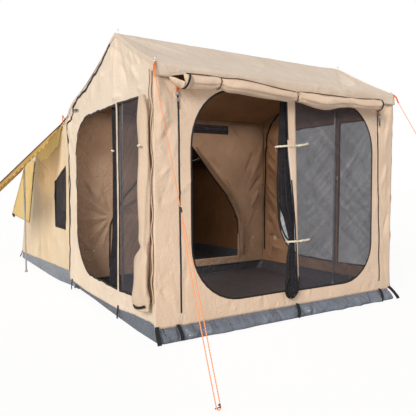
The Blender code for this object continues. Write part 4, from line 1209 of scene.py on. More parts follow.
def roof_cloth(name, node, section, back, creases, supports, rests_on, waves=0.0, step=0.02, edge=0.007):
    """A roof whose section is (v, h) points. Its relief runs along u and along the section."""
    fine = walk(section, step)
    run = arc_length(fine)
    columns = np.linspace(-edge, WIDTH + edge, int((WIDTH + 2 * edge) / step) + 1)
    way = ways(fine)
    normal = np.stack([-way[:, 1], way[:, 0]], axis=1)
    grid_u, grid_run = np.meshgrid(columns, run)
    out = relief(grid_u, grid_run, creases, 0.0, 1)
    across = np.sin(math.pi * np.clip((grid_u + edge) / (WIDTH + 2 * edge), 0, 1))
    between_tubes = np.interp(fine[:, 0], supports, range(len(supports))) % 1
    out -= ROOF_SAG * across * np.sin(math.pi * between_tubes)[:, None]
    hanging = np.clip(1 - grid_run / VALANCE_HEIGHT, 0, 1)
    out += waves * hanging * np.sin(grid_u * 19.0 + np.sin(grid_u * 7.0) * 1.5)
    v = fine[:, :1] + normal[:, :1] * out
    h = fine[:, 1:] + normal[:, 1:] * out
    roof = thickened(loft(name, spot(grid_u, v, h), [roof_canvas, back]))
    hang(roof, node, (2.734, float(run[-1])), slot="roof_canvas", rests_on=[rests_on])
    print(name, round(float(run[-1]), 2), "m long")


# %% The two roofs
VALANCE = [(-0.018, 2.006), (-0.0155, 2.06)]
room_creases = fan((0.02, 0.93), [(0.5, 0.15), (0.8, 0.45), (0.6, 1.3), (0.4, 1.9)], 0.06, 0.016)
room_creases += fan((2.7, 0.93), [(2.5, 0.12), (2.3, 0.14), (2.05, 0.16), (2.1, 1.3)], 0.06, 0.022)
eave_lines = [(1.35, 0.17, 2.66, 0.13), (1.9, 0.24, 2.66, 0.16), (2.2, 0.36, 2.7, 0.19)]
eave_lines += [(0.1, 0.13, 0.7, 0.2), (0.6, 0.16, 1.4, 0.14), (2.66, 0.6, 2.3, 0.3)]
room_creases += pressed(eave_lines, 0.05, 0.014)
room_creases += strewn(61, 44, (0.1, 0.1), (2.6, 2.3), 88, 25, (0.3, 0.9), (0.024, 0.045), (0.003, 0.008))
room_tubes = (-0.014, 0.74, 2.2)
room_cloth = (VALANCE + ROOM_ROOF, roof_inside, room_creases, room_tubes, "ridge_tube", 0.004)
roof_cloth("awning_roof_canvas", "awning_roof", *room_cloth)

roof_creases = strewn(62, 40, (0.1, 0.1), (2.6, 2.1), 88, 25, (0.3, 0.9), (0.018, 0.034), (0.002, 0.005))
rear_cloth = (TENT_ROOF + [(4.291, 1.5)], sleeping_inside, roof_creases, (2.212, 4.285), "rear_tube")
roof_cloth("tent_roof_canvas", "tent_roof", *rear_cloth)

# %% [markdown]
# ## The bathtub floors
#
# The floor cloth turns up all round into a low tub wall, under the canvas. At the front it bulges
# out over the ground and wrinkles, and there the coating glints. The upstand is lofted through
# rings, whose points are pushed in and out by upright wrinkles, and the floor inside the lowest
# ring is filled with triangles.

# %% The bathtub floors' cloth
UPSTAND = [(0.9, 0.0), (0.985, 0.006), (1.0, 0.018), (0.93, 0.032), (0.78, 0.048), (0.55, 0.065)]
UPSTAND += [(0.32, 0.08), (0.1, 0.092)]
UPSTAND_TOP = (0.097, 0.112)


def rounded_rectangle(low, high, radius):
    points = []
    corners = rectangle(low, high)[1:] + [low]
    for (u, v), (x, y), start in zip(corners, ((-1, 1), (-1, -1), (1, -1), (1, 1)), (270, 0, 90, 180)):
        points += arc((u + x * radius, v + y * radius), (radius, radius), start, start + 90, 6)
    return points


def upright_wrinkles(run, level, seed, count, height):
    """How far the upstand is pushed out at each place along it, with slanting wrinkles."""
    pick = np.random.default_rng(seed)
    out = np.zeros_like(run)
    for _ in range(count):
        middle, lean = pick.uniform(0, run[-1]), pick.normal(0, 0.9)
        width = pick.uniform(0.01, 0.034)
        far = np.abs(run - middle - lean * (level - 0.5) * 0.11) / width
        out += pick.uniform(-1, 1) * height * np.exp(-(far**1.4))
    return out * math.sin(math.pi * (0.1 + 0.8 * level))


def tub(name, node, front_v, rear_v, front_bulge, rear_bulge, rear_inset, seed, extra, tuck, outside):
    """A floor cloth with its upstand, whose side edges are higher by extra at the front.

    Each ring of the upstand has a share of the bulge, and a height. Under the canvas its foot is
    tucked in at the sides, by tuck: places along it and amounts.
    """
    base = walk(rounded_rectangle((0.002, front_v), (WIDTH - 0.002, rear_v), 0.05), 0.01, closed=True)
    middle = np.array([WIDTH / 2, (front_v + rear_v) / 2])
    run = arc_length(np.concatenate([base, base[:1]]))[:-1]
    from_middle = np.abs(base[:, 0] - middle[0]) - WIDTH / 2
    inward = np.sign(middle[0] - base[:, 0]) * (from_middle > -0.06) * np.interp(base[:, 1], *tuck)
    edge_share = np.clip((from_middle + 0.05) / 0.04, 0, 1)
    higher = np.interp(base[:, 1], (front_v, rear_v), (extra, 0.0)) * edge_share
    at_front = np.clip(1 - (base[:, 1] - front_v) / 0.05, 0, 1)
    slump = np.sin(4.1 * run + seed) + 0.7 * np.sin(9.7 * run + 2 * seed) + 0.5 * np.sin(23 * run)
    most = np.where(at_front > 0, 0.03, 0.002)
    rings = []
    for share, height in UPSTAND:
        ring = np.array(base)
        ring[:, 0] += inward * (1.15 - height / 0.095)
        ends = (front_v - share * front_bulge, rear_v + share * rear_bulge)
        ring[:, 1] = np.interp(base[:, 1], (front_v, rear_v), ends)
        out = upright_wrinkles(run, height / 0.11, seed, 260, 0.022) * (0.25 + 0.75 * at_front)
        out += 0.014 * slump * at_front * max(0, 1 - height / 0.07)
        away = ring - middle
        away /= np.maximum(np.abs(away).max(axis=1, keepdims=True), 1e-9)
        push = np.where(np.abs(ring[:, :1] - middle[0]) > WIDTH / 2 - 0.06, [[1.0, 0.0]], [[0.0, 1.0]])
        ring = ring + np.sign(away) * push * np.clip(out, -0.04, most)[:, None] * (height > 0)
        rings.append(spot(ring[:, 0], ring[:, 1], height + out * 0.35 * (0.01 < height < 0.085)))
    u = np.interp(base[:, 0], (0.002, WIDTH - 0.002), (0.007, WIDTH - 0.007))
    v = np.interp(base[:, 1], (front_v, rear_v), (front_v + 0.006, rear_v - rear_inset))
    rings += [spot(u, v, height + higher) for height in UPSTAND_TOP]
    wall = loft(name, np.array(rings), [outside, floor_inside], closed=True)
    foot = np.array(rings[0])[:, :2]
    columns, rows = np.arange(-1.3, 1.31, 0.06), np.arange(foot[:, 1].min(), foot[:, 1].max(), 0.06)
    flat, triangles = filled([foot], np.array([(x, y) for x in columns for y in rows]), 0.03)
    rise = 0.003 * (1 + np.sin(flat[:, 0] * 9 + seed) * np.sin(flat[:, 1] * 7))
    rise *= np.clip(gap_to(flat, foot) / 0.15, 0, 1)
    verts = np.column_stack([flat, rise])
    ground = mesh_object(name + "_ground", verts, triangles[:, ::-1].tolist(), [outside, floor_inside])
    piece = joined(name, [wall, ground])
    piece.modifiers.new("weld", "WELD").merge_threshold = 0.0005
    size = (WIDTH + 0.22, rear_v - front_v + 0.3)
    hang(thickened(piece, THIN_CLOTH, -1.0), node, size, slot="floor_vinyl", held="laid")


room_tuck = (0.4, 0.9, 1.22, 1.57, 2.2), (0.0, 0.018, 0.032, 0.05, 0.068)
tent_tuck = (2.3, 2.68, 3.0), (0.055, 0.01, 0.0)
room_run, tent_run = (0.0, DIVIDER_V - 0.006), (DIVIDER_V + 0.012, rear_wall_v(CANVAS_FOOT))
tub("room_floor_tub", "room_floor", *room_run, 0.085, 0.0, 0.006, 71, 0.045, room_tuck, floor_outside)
tub("tent_floor_tub", "tent_floor", *tent_run, 0.0, 0.035, 0.018, 72, 0.092, tent_tuck, floor_lighter)

# %% [markdown]
# ## Rolled and gathered doors
#
# The canvas doors of the front are rolled up and tied over their openings. A rolled cloth is a
# spiral: four to six turns of canvas with air between them, tight at the ties and loose elsewhere.
# The whole spiral is made, so that its open end can be seen. The canvas doors at the sides hang
# in a flatter spiral of three turns. The mesh doors that are open, and the divider's right leaf,
# are gathered in pleats like a curtain.

# %% Helper: sections along a path


def section_rings(stations, steps, reference, section_at):
    """Places a section along a path of stations: u, v, h, and half its width and its thickness."""
    rows = np.array(stations, float)
    fine = curve_through(np.concatenate([rows[:1], rows, rows[-1:]]), lambda b, c: steps)
    centres = spot(*fine[:, :3].T)
    reference = np.array(reference, float)
    rings = []
    for i, (centre, ahead) in enumerate(zip(centres, ways(centres))):
        across = reference - ahead * np.dot(ahead, reference)
        across /= np.linalg.norm(across)
        section = section_at(i / (len(fine) - 1), *fine[i, 3:])
        third = np.cross(ahead, across)
        rings.append(centre + np.outer(section[:, 0], across) + np.outer(section[:, 1], third))
    return np.array(rings)


# %% The rolled front doors
LEFT_TURNS, RIGHT_TURNS, SIDE_TURNS = 4.4, 6.2, 2.9
POINTS_PER_TURN = 20
ROLL_CORE = 0.38
ROLL_V = -0.082
DOOR_CUT = (1.13, 1.25)


def spiral_section(turns, core, seed, start_degrees, ties, loose=1.0):
    """A spiral of cloth inside the roll's outline, with soft flutes, and sharper ones at its ties."""
    pick = np.random.default_rng(seed)
    phases = pick.uniform(0, 2 * math.pi, 4)

    def section(along, wide, thick):
        share = np.linspace(0, 1, int(turns * POINTS_PER_TURN))
        angle = math.radians(start_degrees) + 2 * math.pi * turns * share
        size = core + (1 - core) * share
        flute = 1 + 0.05 * loose * np.cos(3 * angle + 9 * along + phases[0])
        flute += 0.04 * loose * np.cos(5 * angle - 14 * along + phases[1])
        flute += 0.03 * loose * np.cos(2 * angle + 31 * along + phases[2])
        for tie in ties:
            near = math.exp(-(((along - tie) / 0.07) ** 2))
            flute += 0.1 * near * np.cos(7 * angle + 40 * (along - tie) * np.cos(angle) + phases[3])
        return np.stack([np.cos(angle) * size * wide * flute, np.sin(angle) * size * thick * flute], axis=1)

    return section


def rolled_door(name, node, stations, cut, seed, start, ties, finish, turns, loose=1.1, core=ROLL_CORE):
    """A cloth door that is rolled up along its stations."""
    section = spiral_section(turns, core, seed, start, ties, loose)
    rings = section_rings(stations, 9, (0, 1, 0), section)
    roll = thickened(loft(name, rings, [finish] * 2), THIN_CLOTH)
    hang(roll, node, cut, held="folded", rests_on=["front_wall"])


left_roll = [
    (0.24, ROLL_V, 1.98, 0.046, 0.047), (0.3, ROLL_V, 1.978, 0.048, 0.052),
    (0.42, ROLL_V, 1.98, 0.046, 0.052), (0.521, ROLL_V, 1.99, 0.038, 0.04),
    (0.61, ROLL_V, 1.978, 0.05, 0.052), (0.75, ROLL_V, 1.979, 0.055, 0.057),
    (1.04, ROLL_V, 1.96, 0.052, 0.052), (1.2, ROLL_V, 1.953, 0.046, 0.046),
    (1.31, ROLL_V, 1.953, 0.04, 0.04),
]
loosely = (left_roll, DOOR_CUT, 81, 60, (0.375, 0.97), wall_canvas, LEFT_TURNS)
rolled_door("front_left_rolled_door", "front_left_door_roll", *loosely, core=0.62)
right_roll = [
    (1.345, ROLL_V, 1.953, 0.04, 0.04), (1.42, ROLL_V, 1.948, 0.046, 0.05),
    (1.55, ROLL_V, 1.938, 0.055, 0.062), (1.69, ROLL_V, 1.934, 0.058, 0.065),
    (1.86, ROLL_V, 1.951, 0.05, 0.05), (2.00, ROLL_V, 1.958, 0.042, 0.042),
    (2.17, ROLL_V, 1.956, 0.05, 0.05), (2.33, ROLL_V, 1.964, 0.053, 0.053),
    (2.412, ROLL_V, 1.97, 0.05, 0.05),
]
tightly = (right_roll, DOOR_CUT, 82, 130, (0.03, 0.58), wall_canvas, RIGHT_TURNS)
rolled_door("front_right_rolled_door", "front_right_door_roll", *tightly)
print("rolls of", LEFT_TURNS, "and", RIGHT_TURNS, "turns")

# %% The gathered side doors and mesh doors
POINTS_PER_PLEAT = 6
FULLNESS = 0.92


def pleated_section(pleats, seed):
    """A cloth pushed together in uneven pleats inside a flat oval."""
    pick = np.random.default_rng(seed)
    phases = pick.uniform(0, 2 * math.pi, 5)
    depths = pick.uniform(0.55, 1.0, pleats + 1)

    def section(along, wide, thick):
        share = np.linspace(0, 1, pleats * POINTS_PER_PLEAT + 1)
        shift = 0.022 * np.sin(2 * math.pi * (share * 2 + along) + phases[0])
        shift += 0.012 * np.sin(2 * math.pi * (share * 3 - 2 * along) + phases[1])
        side = np.clip(2 * (share + shift) - 1, -1, 1)
        oval = np.sqrt(np.clip(1 - side**2, 0.06, 1))
        depth = np.interp(share * pleats, np.arange(pleats + 1), depths)
        wave = np.sin(2 * math.pi * share * pleats * 0.75 + phases[2])
        wave = np.sign(wave) * np.abs(wave) ** 0.7
        lift = wave * oval * depth * FULLNESS
        lift += 0.12 * np.sin(6 * along + phases[3] + 9 * share) * oval
        return np.stack([side * wide, np.clip(lift, -1, 1) * thick], axis=1)

    return section


def gathered_door(name, node, stations, reference, pleats, seed, finish, slot, cut):
    """A cloth that is gathered in pleats along its stations."""
    rings = section_rings(stations, 5, reference, pleated_section(pleats, seed))
    cloth = thickened(loft(name, rings, [finish] * 2), THIN_CLOTH)
    hang(cloth, node, cut, slot=slot, held="gathered")


side_roll = [
    (-0.05, 0.09, 1.87, 0.03, 0.028), (-0.05, 0.07, 1.69, 0.052, 0.038),
    (-0.05, 0.066, 1.49, 0.058, 0.04), (-0.05, 0.066, 1.235, 0.062, 0.042),
    (-0.05, 0.072, 0.93, 0.062, 0.042), (-0.05, 0.076, 0.79, 0.056, 0.04),
    (-0.045, 0.078, 0.715, 0.044, 0.034), (-0.05, 0.108, 0.6, 0.09, 0.042),
    (-0.052, 0.136, 0.43, 0.118, 0.044), (-0.052, 0.14, 0.31, 0.124, 0.044),
    (-0.05, 0.136, 0.23, 0.112, 0.04),
]
side_door = (side_roll, (0.56, 1.66), 91, 40, (0.3, 0.66), door_canvas, SIDE_TURNS, 2.6)
rolled_door("left_gathered_door", "left_door_roll", *side_door)
far_roll = [(WIDTH + 0.05, 1.86, 1.84, 0.03, 0.026)]
far_roll += [(WIDTH + 0.05, 1.87, h, 0.052, 0.038) for h in (1.69, 1.49, 1.235, 0.93)]
far_roll += [(WIDTH + 0.045, 1.86, 0.715, 0.044, 0.034)]
far_roll += [(WIDTH + 0.052, 1.88, h, 0.074, 0.042) for h in (0.56, 0.4)]
far_roll += [(WIDTH + 0.05, 1.876, 0.27, 0.066, 0.038)]
far_door = (far_roll, (0.56, 1.6), 92, 220, (0.3, 0.66), door_canvas, SIDE_TURNS, 2.6)
rolled_door("right_gathered_door", "right_door_roll", *far_door)
front_bundle = [
    (1.295, 0.048, 1.935, 0.026, 0.024), (1.296, 0.048, 1.72, 0.034, 0.028),
    (1.3, 0.05, 1.5, 0.045, 0.032), (1.32, 0.052, 1.236, 0.062, 0.036),
    (1.34, 0.052, 1.02, 0.074, 0.038), (1.368, 0.05, 0.92, 0.06, 0.036),
    (1.382, 0.048, 0.83, 0.048, 0.032), (1.398, 0.046, 0.73, 0.034, 0.026),
    (1.404, 0.044, 0.66, 0.03, 0.024), (1.388, 0.034, 0.53, 0.05, 0.032),
    (1.38, 0.022, 0.42, 0.056, 0.034), (1.37, 0.000, 0.335, 0.064, 0.03),
    (1.34, -0.034, 0.272, 0.074, 0.024), (1.322, -0.04, 0.225, 0.062, 0.022),
    (1.32, -0.038, 0.185, 0.03, 0.016),
]
net_door = (front_bundle, (1, 0, 0), 13, 93, gathered_net, "insect_mesh", (0.62, 1.78))
gathered_door("front_left_gathered_net", "front_left_mesh_bundle", *net_door)
side_bundle = [
    (0.045, 0.905, 1.885, 0.036, 0.026), (0.045, 0.905, 1.69, 0.036, 0.026),
    (0.045, 0.902, 1.5, 0.036, 0.026), (0.045, 0.882, 1.236, 0.056, 0.03),
    (0.045, 0.886, 0.87, 0.062, 0.032), (0.045, 0.905, 0.64, 0.072, 0.034),
    (0.045, 0.945, 0.45, 0.104, 0.036), (0.045, 0.955, 0.3, 0.11, 0.036),
    (0.045, 0.95, 0.245, 0.086, 0.03),
]
net_door = (side_bundle, (0, 1, 0), 13, 94, gathered_net, "insect_mesh", (0.62, 1.64))
gathered_door("left_rear_gathered_net", "left_rear_mesh_bundle", *net_door)
forward = DIVIDER_V - 0.04
tied_flap = [
    (1.6, forward, 1.655, 0.014, 0.012), (1.7, forward, 1.52, 0.026, 0.02),
    (1.93, forward, 1.255, 0.034, 0.024), (2.12, forward, 1.04, 0.036, 0.024),
    (2.25, forward, 0.83, 0.036, 0.024), (2.315, forward, 0.6, 0.034, 0.022),
    (2.325, forward, 0.4, 0.03, 0.02), (2.325, forward, 0.23, 0.018, 0.014),
]
leaf_door = (tied_flap, (1, 0, 0), 9, 95, inner_tent, "inner_canvas", (0.4, 1.7))
gathered_door("divider_right_gathered_leaf", "divider_right_flap", *leaf_door)

# %% [markdown]
# ## Mesh doors that are zipped shut
#
# Four leaves of insect mesh hang in the doorways. They are lighter than the canvas and are pulled
# by their zips, so long diagonal creases run from corner to corner.

# %% The mesh doors
front_leaf = [(1.46, 0.223), *arc((2.05, 0.6), (0.382, 0.38), 270, 360)]
front_leaf += [*arc((2.0, 1.5), (0.424, 0.462), 0, 90), (1.387, 1.962)]
net_creases = fan((1.42, 1.93), [(2.0, 0.9), (2.2, 0.6), (1.8, 0.5), (2.3, 1.2)], 0.03, 0.003)
leaf_net = (front_leaf, front_plane(0.004), net_creases, 0.0015, 12, (1.04, 1.76))
net("front_right_net_door", "front_right_mesh_door", *leaf_net, body="front_right_mesh", held="hung")
lap = 0.012
side_leaves = (
    ("left_front", side_openings("left", lap)[0], side_plane(0.006, -1), (0.525, 1.65)),
    ("right_front", side_openings("right", lap)[0], side_plane(WIDTH - 0.006, 1), (0.525, 1.65)),
    ("right_rear", side_openings("right", lap)[1], side_plane(WIDTH - 0.006, 1), (1.05, 1.65)),
)
for name, outline, plane, cut in side_leaves:
    if name == "right_rear":
        outline = [(max(v, 0.757), h) for v, h in outline]
    low, high = np.min(outline, axis=0), np.max(outline, axis=0)
    creases = fan((low[0], high[1]), [(high[0], 1.5), (high[0], 1.2), (high[0], 0.8)], 0.02, 0.006)
    creases += fan((low[0], 1.0), [(high[0], 0.9), (high[0], 0.6), (high[0] - 0.1, 0.4)], 0.018, 0.007)
    leaf_net = (outline, plane, creases, 0.0015, 13, cut)
    net(f"{name}_net_door", f"{name}_mesh_door", *leaf_net, body=f"{name}_mesh", held="hung")

# %% [markdown]
# ## Window awnings
#
# Three awnings stand out from the eaves over the windows: stretched cloth that sags between its
# hinge line and its outer edge. The rear one has a gusset at each end, which folds on the real
# tent as the awning tilts. Here each gusset is a flat cloth that stays in place.

# %% The awnings' cloth


def awning_cloth(name, corners, columns, rows, sag, seed, finish, node, body, cut, ripple=0.002):
    """A sheet between four corners in order, sagging in its middle."""
    a, b, c, d = (spot(*p) for p in corners)
    s, t = np.meshgrid(np.linspace(0, 1, columns + 1), np.linspace(0, 1, rows + 1))
    s, t = s[..., None], t[..., None]
    points = (a * (1 - s) + b * s) * (1 - t) + (d * (1 - s) + c * s) * t
    drop = 16 * sag * s * (1 - s) * t * (1 - t)
    drop = drop + ripple * np.sin(s * 23 + seed) * np.sin(t * 5 + 1) + ripple * np.sin(s * 9 - t * 11)
    points[..., 2] -= drop[..., 0]
    hang(thickened(loft(name, points, [finish] * 2)), node, cut, body=body, slot="awning_canvas")


AWNING_REACH = 0.74
HINGE_FRONT, HINGE_REAR = ((v, float(roof_height(TENT_ROOF, v)) - 0.012) for v in (2.43, 3.75))
for side in ("left", "right"):
    corners = [(-0.012, *HINGE_FRONT), (-0.012, *HINGE_REAR)]
    corners += [(-AWNING_REACH, v, h - AWNING_REACH + 0.012) for v, h in (HINGE_REAR, HINGE_FRONT)]
    fitted = (awning_underside, f"{side}_window_awning", f"{side}_awning", (1.35, 1.04))
    awning_cloth(f"{side}_awning_cloth", mirrored(side, corners), 44, 34, 0.02, 3, *fitted)

REAR_HINGE = (REAR_EAVE_V + 0.016, REAR_EAVE_HEIGHT - 0.02)
REAR_TIP = (5.5, 0.64)
left_u, right_u = -0.022, WIDTH + 0.022
corners = [(left_u, *REAR_HINGE), (right_u, *REAR_HINGE), (right_u, *REAR_TIP), (left_u, *REAR_TIP)]
fitted = (awning_canvas, "rear_window_awning", "rear_awning", (2.77, 1.5))
awning_cloth("rear_awning_cloth", corners, 80, 44, 0.03, 5, *fitted)

GUSSET = [(3.8, 1.5), (4.3, 1.497), (5.475, 0.65), (4.22, 0.6)]
creases = fan((3.85, 1.46), [(5.2, 0.75), (4.8, 0.72), (4.4, 0.7), (5.0, 0.95)], 0.02, 0.004)
for side, plane in (("left", side_plane(-0.012, -1)), ("right", side_plane(WIDTH + 0.012, 1))):
    skin = skin_on(plane, creases, 0.001, 14)
    gusset = cloth_panel(f"{side}_gusset_cloth", GUSSET, [], skin, [awning_canvas] * 2, 0.04)
    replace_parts(gusset, f"rear_awning_{side}_gusset")
    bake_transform(gusset)

# %% The awnings' hems and roots
ROOT = [(2.44, 1.855), (3.74, 1.6), (3.44, 1.47), (3.07, 1.52), (2.59, 1.64)]
for side in ("left", "right"):
    flip = (lambda u: u) if side == "left" else (lambda u: WIDTH - u)
    skin = skin_on(lambda x, y, out: spot(flip(-0.007 - out), x, y), [], 0.001, 15)
    cloth = (ROOT, [], skin, [awning_underside] * 2, (1.33, 0.4), 0.03)
    panel(f"{side}_awning_root", None, *cloth, slot="awning_canvas")
    for end, (v, h), off in (("front", HINGE_FRONT, -0.011), ("rear", HINGE_REAR, 0.011)):
        hem = [(0.02, h - 0.004), (AWNING_REACH - 0.008, h - AWNING_REACH + 0.024)]
        hem += [(AWNING_REACH - 0.008, h - AWNING_REACH - 0.05), (0.2, h - 0.27), (0.06, h - 0.07)]
        skin = skin_on(lambda x, y, out: spot(flip(-x), v + off - out, y), [], 0.0006, 16)
        cloth = (hem, [], skin, [awning_hem] * 2, (1.05, 0.12), 0.02)
        how = {"body": f"{side}_awning", "slot": "awning_canvas", "held": "hung"}
        panel(f"{side}_awning_{end}_hem", None, *cloth, **how)

# %% [markdown]
# ## Straps, ties and fittings
#
# Small things tell the eye how big a tent is. Black webbing straps hold the tub down, cream tapes
# tie the open doors, orange webbing takes the guy ropes, and the zips have sliders. A band is a
# thin strip that is lofted along its route; toggles, pins and snaps are turned shapes.

# %% Helpers: bands and turned pieces


def band(name, route, width, finish, across=(1, 0, 0), thickness=0.0022, body="tent", slot="wall_canvas"):
    """A flat strip along a route, whose width points along across."""
    line = smooth_line(spot(*np.array(route, float).T), 0.01)
    way = ways(line)
    across = np.array(across, float)
    side = across - way * (way @ across)[:, None]
    side /= np.linalg.norm(side, axis=1, keepdims=True)
    up = np.cross(way, side)
    corners = rectangle((-0.5, -0.5), (0.5, 0.5))
    rings = np.stack([line + side * a * width + up * b * thickness for a, b in corners], axis=1)
    uv = (arc_length(line), [0, width, width, 0, 0])
    fit(loft(name, rings, [finish], closed=True, caps=True, uv=uv), body)


def turned(name, start, end, profile, finish, slot="wall_canvas", sides=20):
    """A turned piece from (share of its length, radius) pairs."""
    start, end = spot(*start), spot(*end)
    ahead = (end - start) / np.linalg.norm(end - start)
    side = np.cross(ahead, (0.3, 0.5, 0.8))
    side /= np.linalg.norm(side)
    turn = np.linspace(0, 2 * math.pi, sides, endpoint=False)
    circle = np.outer(np.cos(turn), side) + np.outer(np.sin(turn), np.cross(ahead, side))
    rings = np.array([start + (end - start) * share + circle * radius for share, radius in profile])
    fit(loft(name, rings, [finish], closed=True, caps=True), "tent")


TOGGLE = [(0.0, 0.004), (0.06, 0.008), (0.3, 0.0095), (0.46, 0.007), (0.54, 0.007), (0.7, 0.0095)]
TOGGLE += [(0.94, 0.008), (1.0, 0.004)]
PIN = [(0.0, 0.0045), (0.55, 0.0045), (0.6, 0.0075), (0.66, 0.0075), (0.72, 0.0045)]
PIN += [(0.97, 0.0042), (1.0, 0.002)]
SNAP = [(0.0, 0.009), (0.25, 0.0095), (0.55, 0.0075), (0.8, 0.006), (1.0, 0.003)]
COLLAR = [(0.0, 0.0145), (0.04, 0.0175), (0.45, 0.0185), (0.55, 0.017), (0.96, 0.017), (1.0, 0.0145)]

# %% Webbing of the guy ropes and the pegs
for side in ("left", "right"):
    doubled = 0.07 if side == "left" else 0.02
    tab = [(0.01, -0.014, EAVE_HEIGHT + 0.006), (-0.01, -0.034, EAVE_HEIGHT - 0.02), tuple(ROPE_TOP)]
    tab += [tuple(ROPE_TOP + doubled * ROPE_WAY)]
    band(f"{side}_corner_tab", mirrored(side, tab), 0.015, orange_webbing, (0.8, -0.6, 0), 0.004)
    knee = [(-0.008, 2.3, 1.925), (-0.014, 2.35, 1.965), (-0.018, 2.335, 1.9), (-0.016, 2.317, 1.859)]
    band(f"{side}_knee_tab", mirrored(side, knee), 0.022, orange_webbing, (0, 1, 0.3), 0.003)
    for i, v in enumerate((0.74, 2.11)):
        strap = [(-0.005, v, 0.125), (-0.009, v, 0.08), (-0.013, v + 0.004, 0.035), (-0.014, v, 0.006)]
        band(f"{side}_peg_strap_{i + 1}", mirrored(side, strap), 0.028, black_webbing, (0, 1, 0), 0.003)
    corner = [(0.01, -0.01, 0.118), (-0.006, -0.055, 0.075), (-0.014, -0.098, 0.03), (-0.016, -0.112, 0.008)]
    band(f"{side}_corner_strap", mirrored(side, corner), 0.034, black_webbing, (0.9, -0.4, 0), 0.004)
    tip = mirrored(side, [(-0.018, 5.44, 0.65), (-0.018, 5.36, 0.64), (-0.018, 5.26, 0.636)])
    band(f"{side}_gusset_tip", tip, 0.05, black_webbing, (0, 0.3, 1), 0.004, body="rear_awning")
    edge = [(-x, 2.414, HINGE_FRONT[1] + 0.014 - x) for x in (0.03, 0.2, 0.4, 0.56, 0.72)]
    finish = (0.008, brown_binding_and_shadow_line, (0, 0, 1), 0.003)
    band(f"{side}_awning_binding", mirrored(side, edge), *finish, body=f"{side}_awning", slot="awning_canvas")
    back = [(-0.004, 4.77, 0.115), (-0.008, 4.83, 0.06), (-0.02, 4.88, 0.012)]
    band(f"{side}_rear_strap", mirrored(side, back), 0.03, black_webbing, (0, 1, 0.4), 0.003)
for i, (top_u, foot_u) in enumerate(((0.195, 0.18), (1.433, 1.36), (2.572, 2.482))):
    strap = [(top_u, -0.006, 0.108), (0.7 * top_u + 0.3 * foot_u, -0.052, 0.08)]
    strap += [(0.3 * top_u + 0.7 * foot_u, -0.094, 0.046), (foot_u, -0.108, 0.012)]
    band(f"front_peg_strap_{i + 1}", strap, 0.03, black_webbing, (1, 0, 0), 0.004)

# %% Ties of the open doors
upper_tie = [(1.236, 0.092, 1.53), (1.222, 0.04, 1.53), (1.262, 0.006, 1.534), (1.335, -0.012, 1.54)]
upper_tie += [(1.42, -0.013, 1.544), (1.475, -0.02, 1.552), (1.531, -0.022, 1.566)]
band("front_upper_tie", upper_tie, 0.016, cream_tape, (0, 0, 1), 0.003)
lower_tie = [(1.36, 0.076, 0.676), (1.352, 0.034, 0.677), (1.376, 0.008, 0.68), (1.42, -0.012, 0.682)]
lower_tie += [(1.47, -0.014, 0.684), (1.52, -0.02, 0.688), (1.562, -0.022, 0.692)]
band("front_lower_tie", lower_tie, 0.016, cream_tape, (0, 0, 1), 0.003)
for name, u, h in (("upper", 1.432, 1.545), ("lower", 1.462, 0.684)):
    ends = (u - 0.016, -0.02, h - 0.006), (u + 0.016, -0.022, h + 0.006)
    turned(f"front_{name}_tie_knot", *ends, TOGGLE, cream_tape)
net_edge = [
    (1.272, 0.062, 1.926), (1.263, 0.062, 1.723), (1.253, 0.062, 1.503), (1.243, 0.062, 1.236),
    (1.248, 0.062, 1.057), (1.26, 0.06, 0.949), (1.287, 0.058, 0.831), (1.333, 0.052, 0.729),
    (1.384, 0.04, 0.665), (1.352, 0.02, 0.58), (1.33, 0.004, 0.47), (1.318, -0.012, 0.36),
    (1.256, -0.048, 0.285), (1.262, -0.052, 0.225), (1.318, -0.05, 0.176), (1.384, -0.05, 0.212),
    (1.412, -0.046, 0.27), (1.44, -0.02, 0.36),
]
band("front_left_net_zip_edge", net_edge, 0.014, zip_tape, (0.6, -0.8, 0), 0.003, slot="black_plastic")
turned("left_door_toggle", (-0.014, 0.782, 1.49), (-0.014, 0.828, 1.496), TOGGLE, cream_moulding)
turned("left_roll_toggle", (-0.104, 0.018, 1.494), (-0.104, 0.06, 1.49), TOGGLE, cream_moulding)
inside = WIDTH - 0.014
turned("right_door_toggle", (inside, 0.725, 1.236), (inside, 0.725, 1.278), TOGGLE, cream_moulding)
tab = [(inside, 0.812, 1.54), (inside, 0.828, 1.541), (inside, 0.846, 1.536)]
band("right_door_tab", tab, 0.016, cream_tape, (0, 0, 1), body="right_rear_mesh")
for name, u, v, h, ahead in (
    ("divider_right", 2.544, DIVIDER_V - 0.006, 0.437, (0, -0.009)),
    ("divider_left", 0.25, DIVIDER_V - 0.006, 0.418, (0, -0.009)),
    ("left_sill", -0.004, 0.897, 0.194, (-0.009, 0)),
):
    turned(f"{name}_snap", (u, v, h), (u + ahead[0], v + ahead[1], h), SNAP, cream_moulding)

# %% Spigots of the tubes
for side in ("left", "right"):
    for name, u, v, low, high in (("ridge", 0.02, 0.74, 2.492, 2.548), ("eave", 0.014, 0.004, 2.098, 2.142)):
        ends = mirrored(side, [(u, v, low), (u, v, high)])
        turned(f"{side}_{name}_spigot", *ends, PIN, aluminium, slot="aluminium_tube")

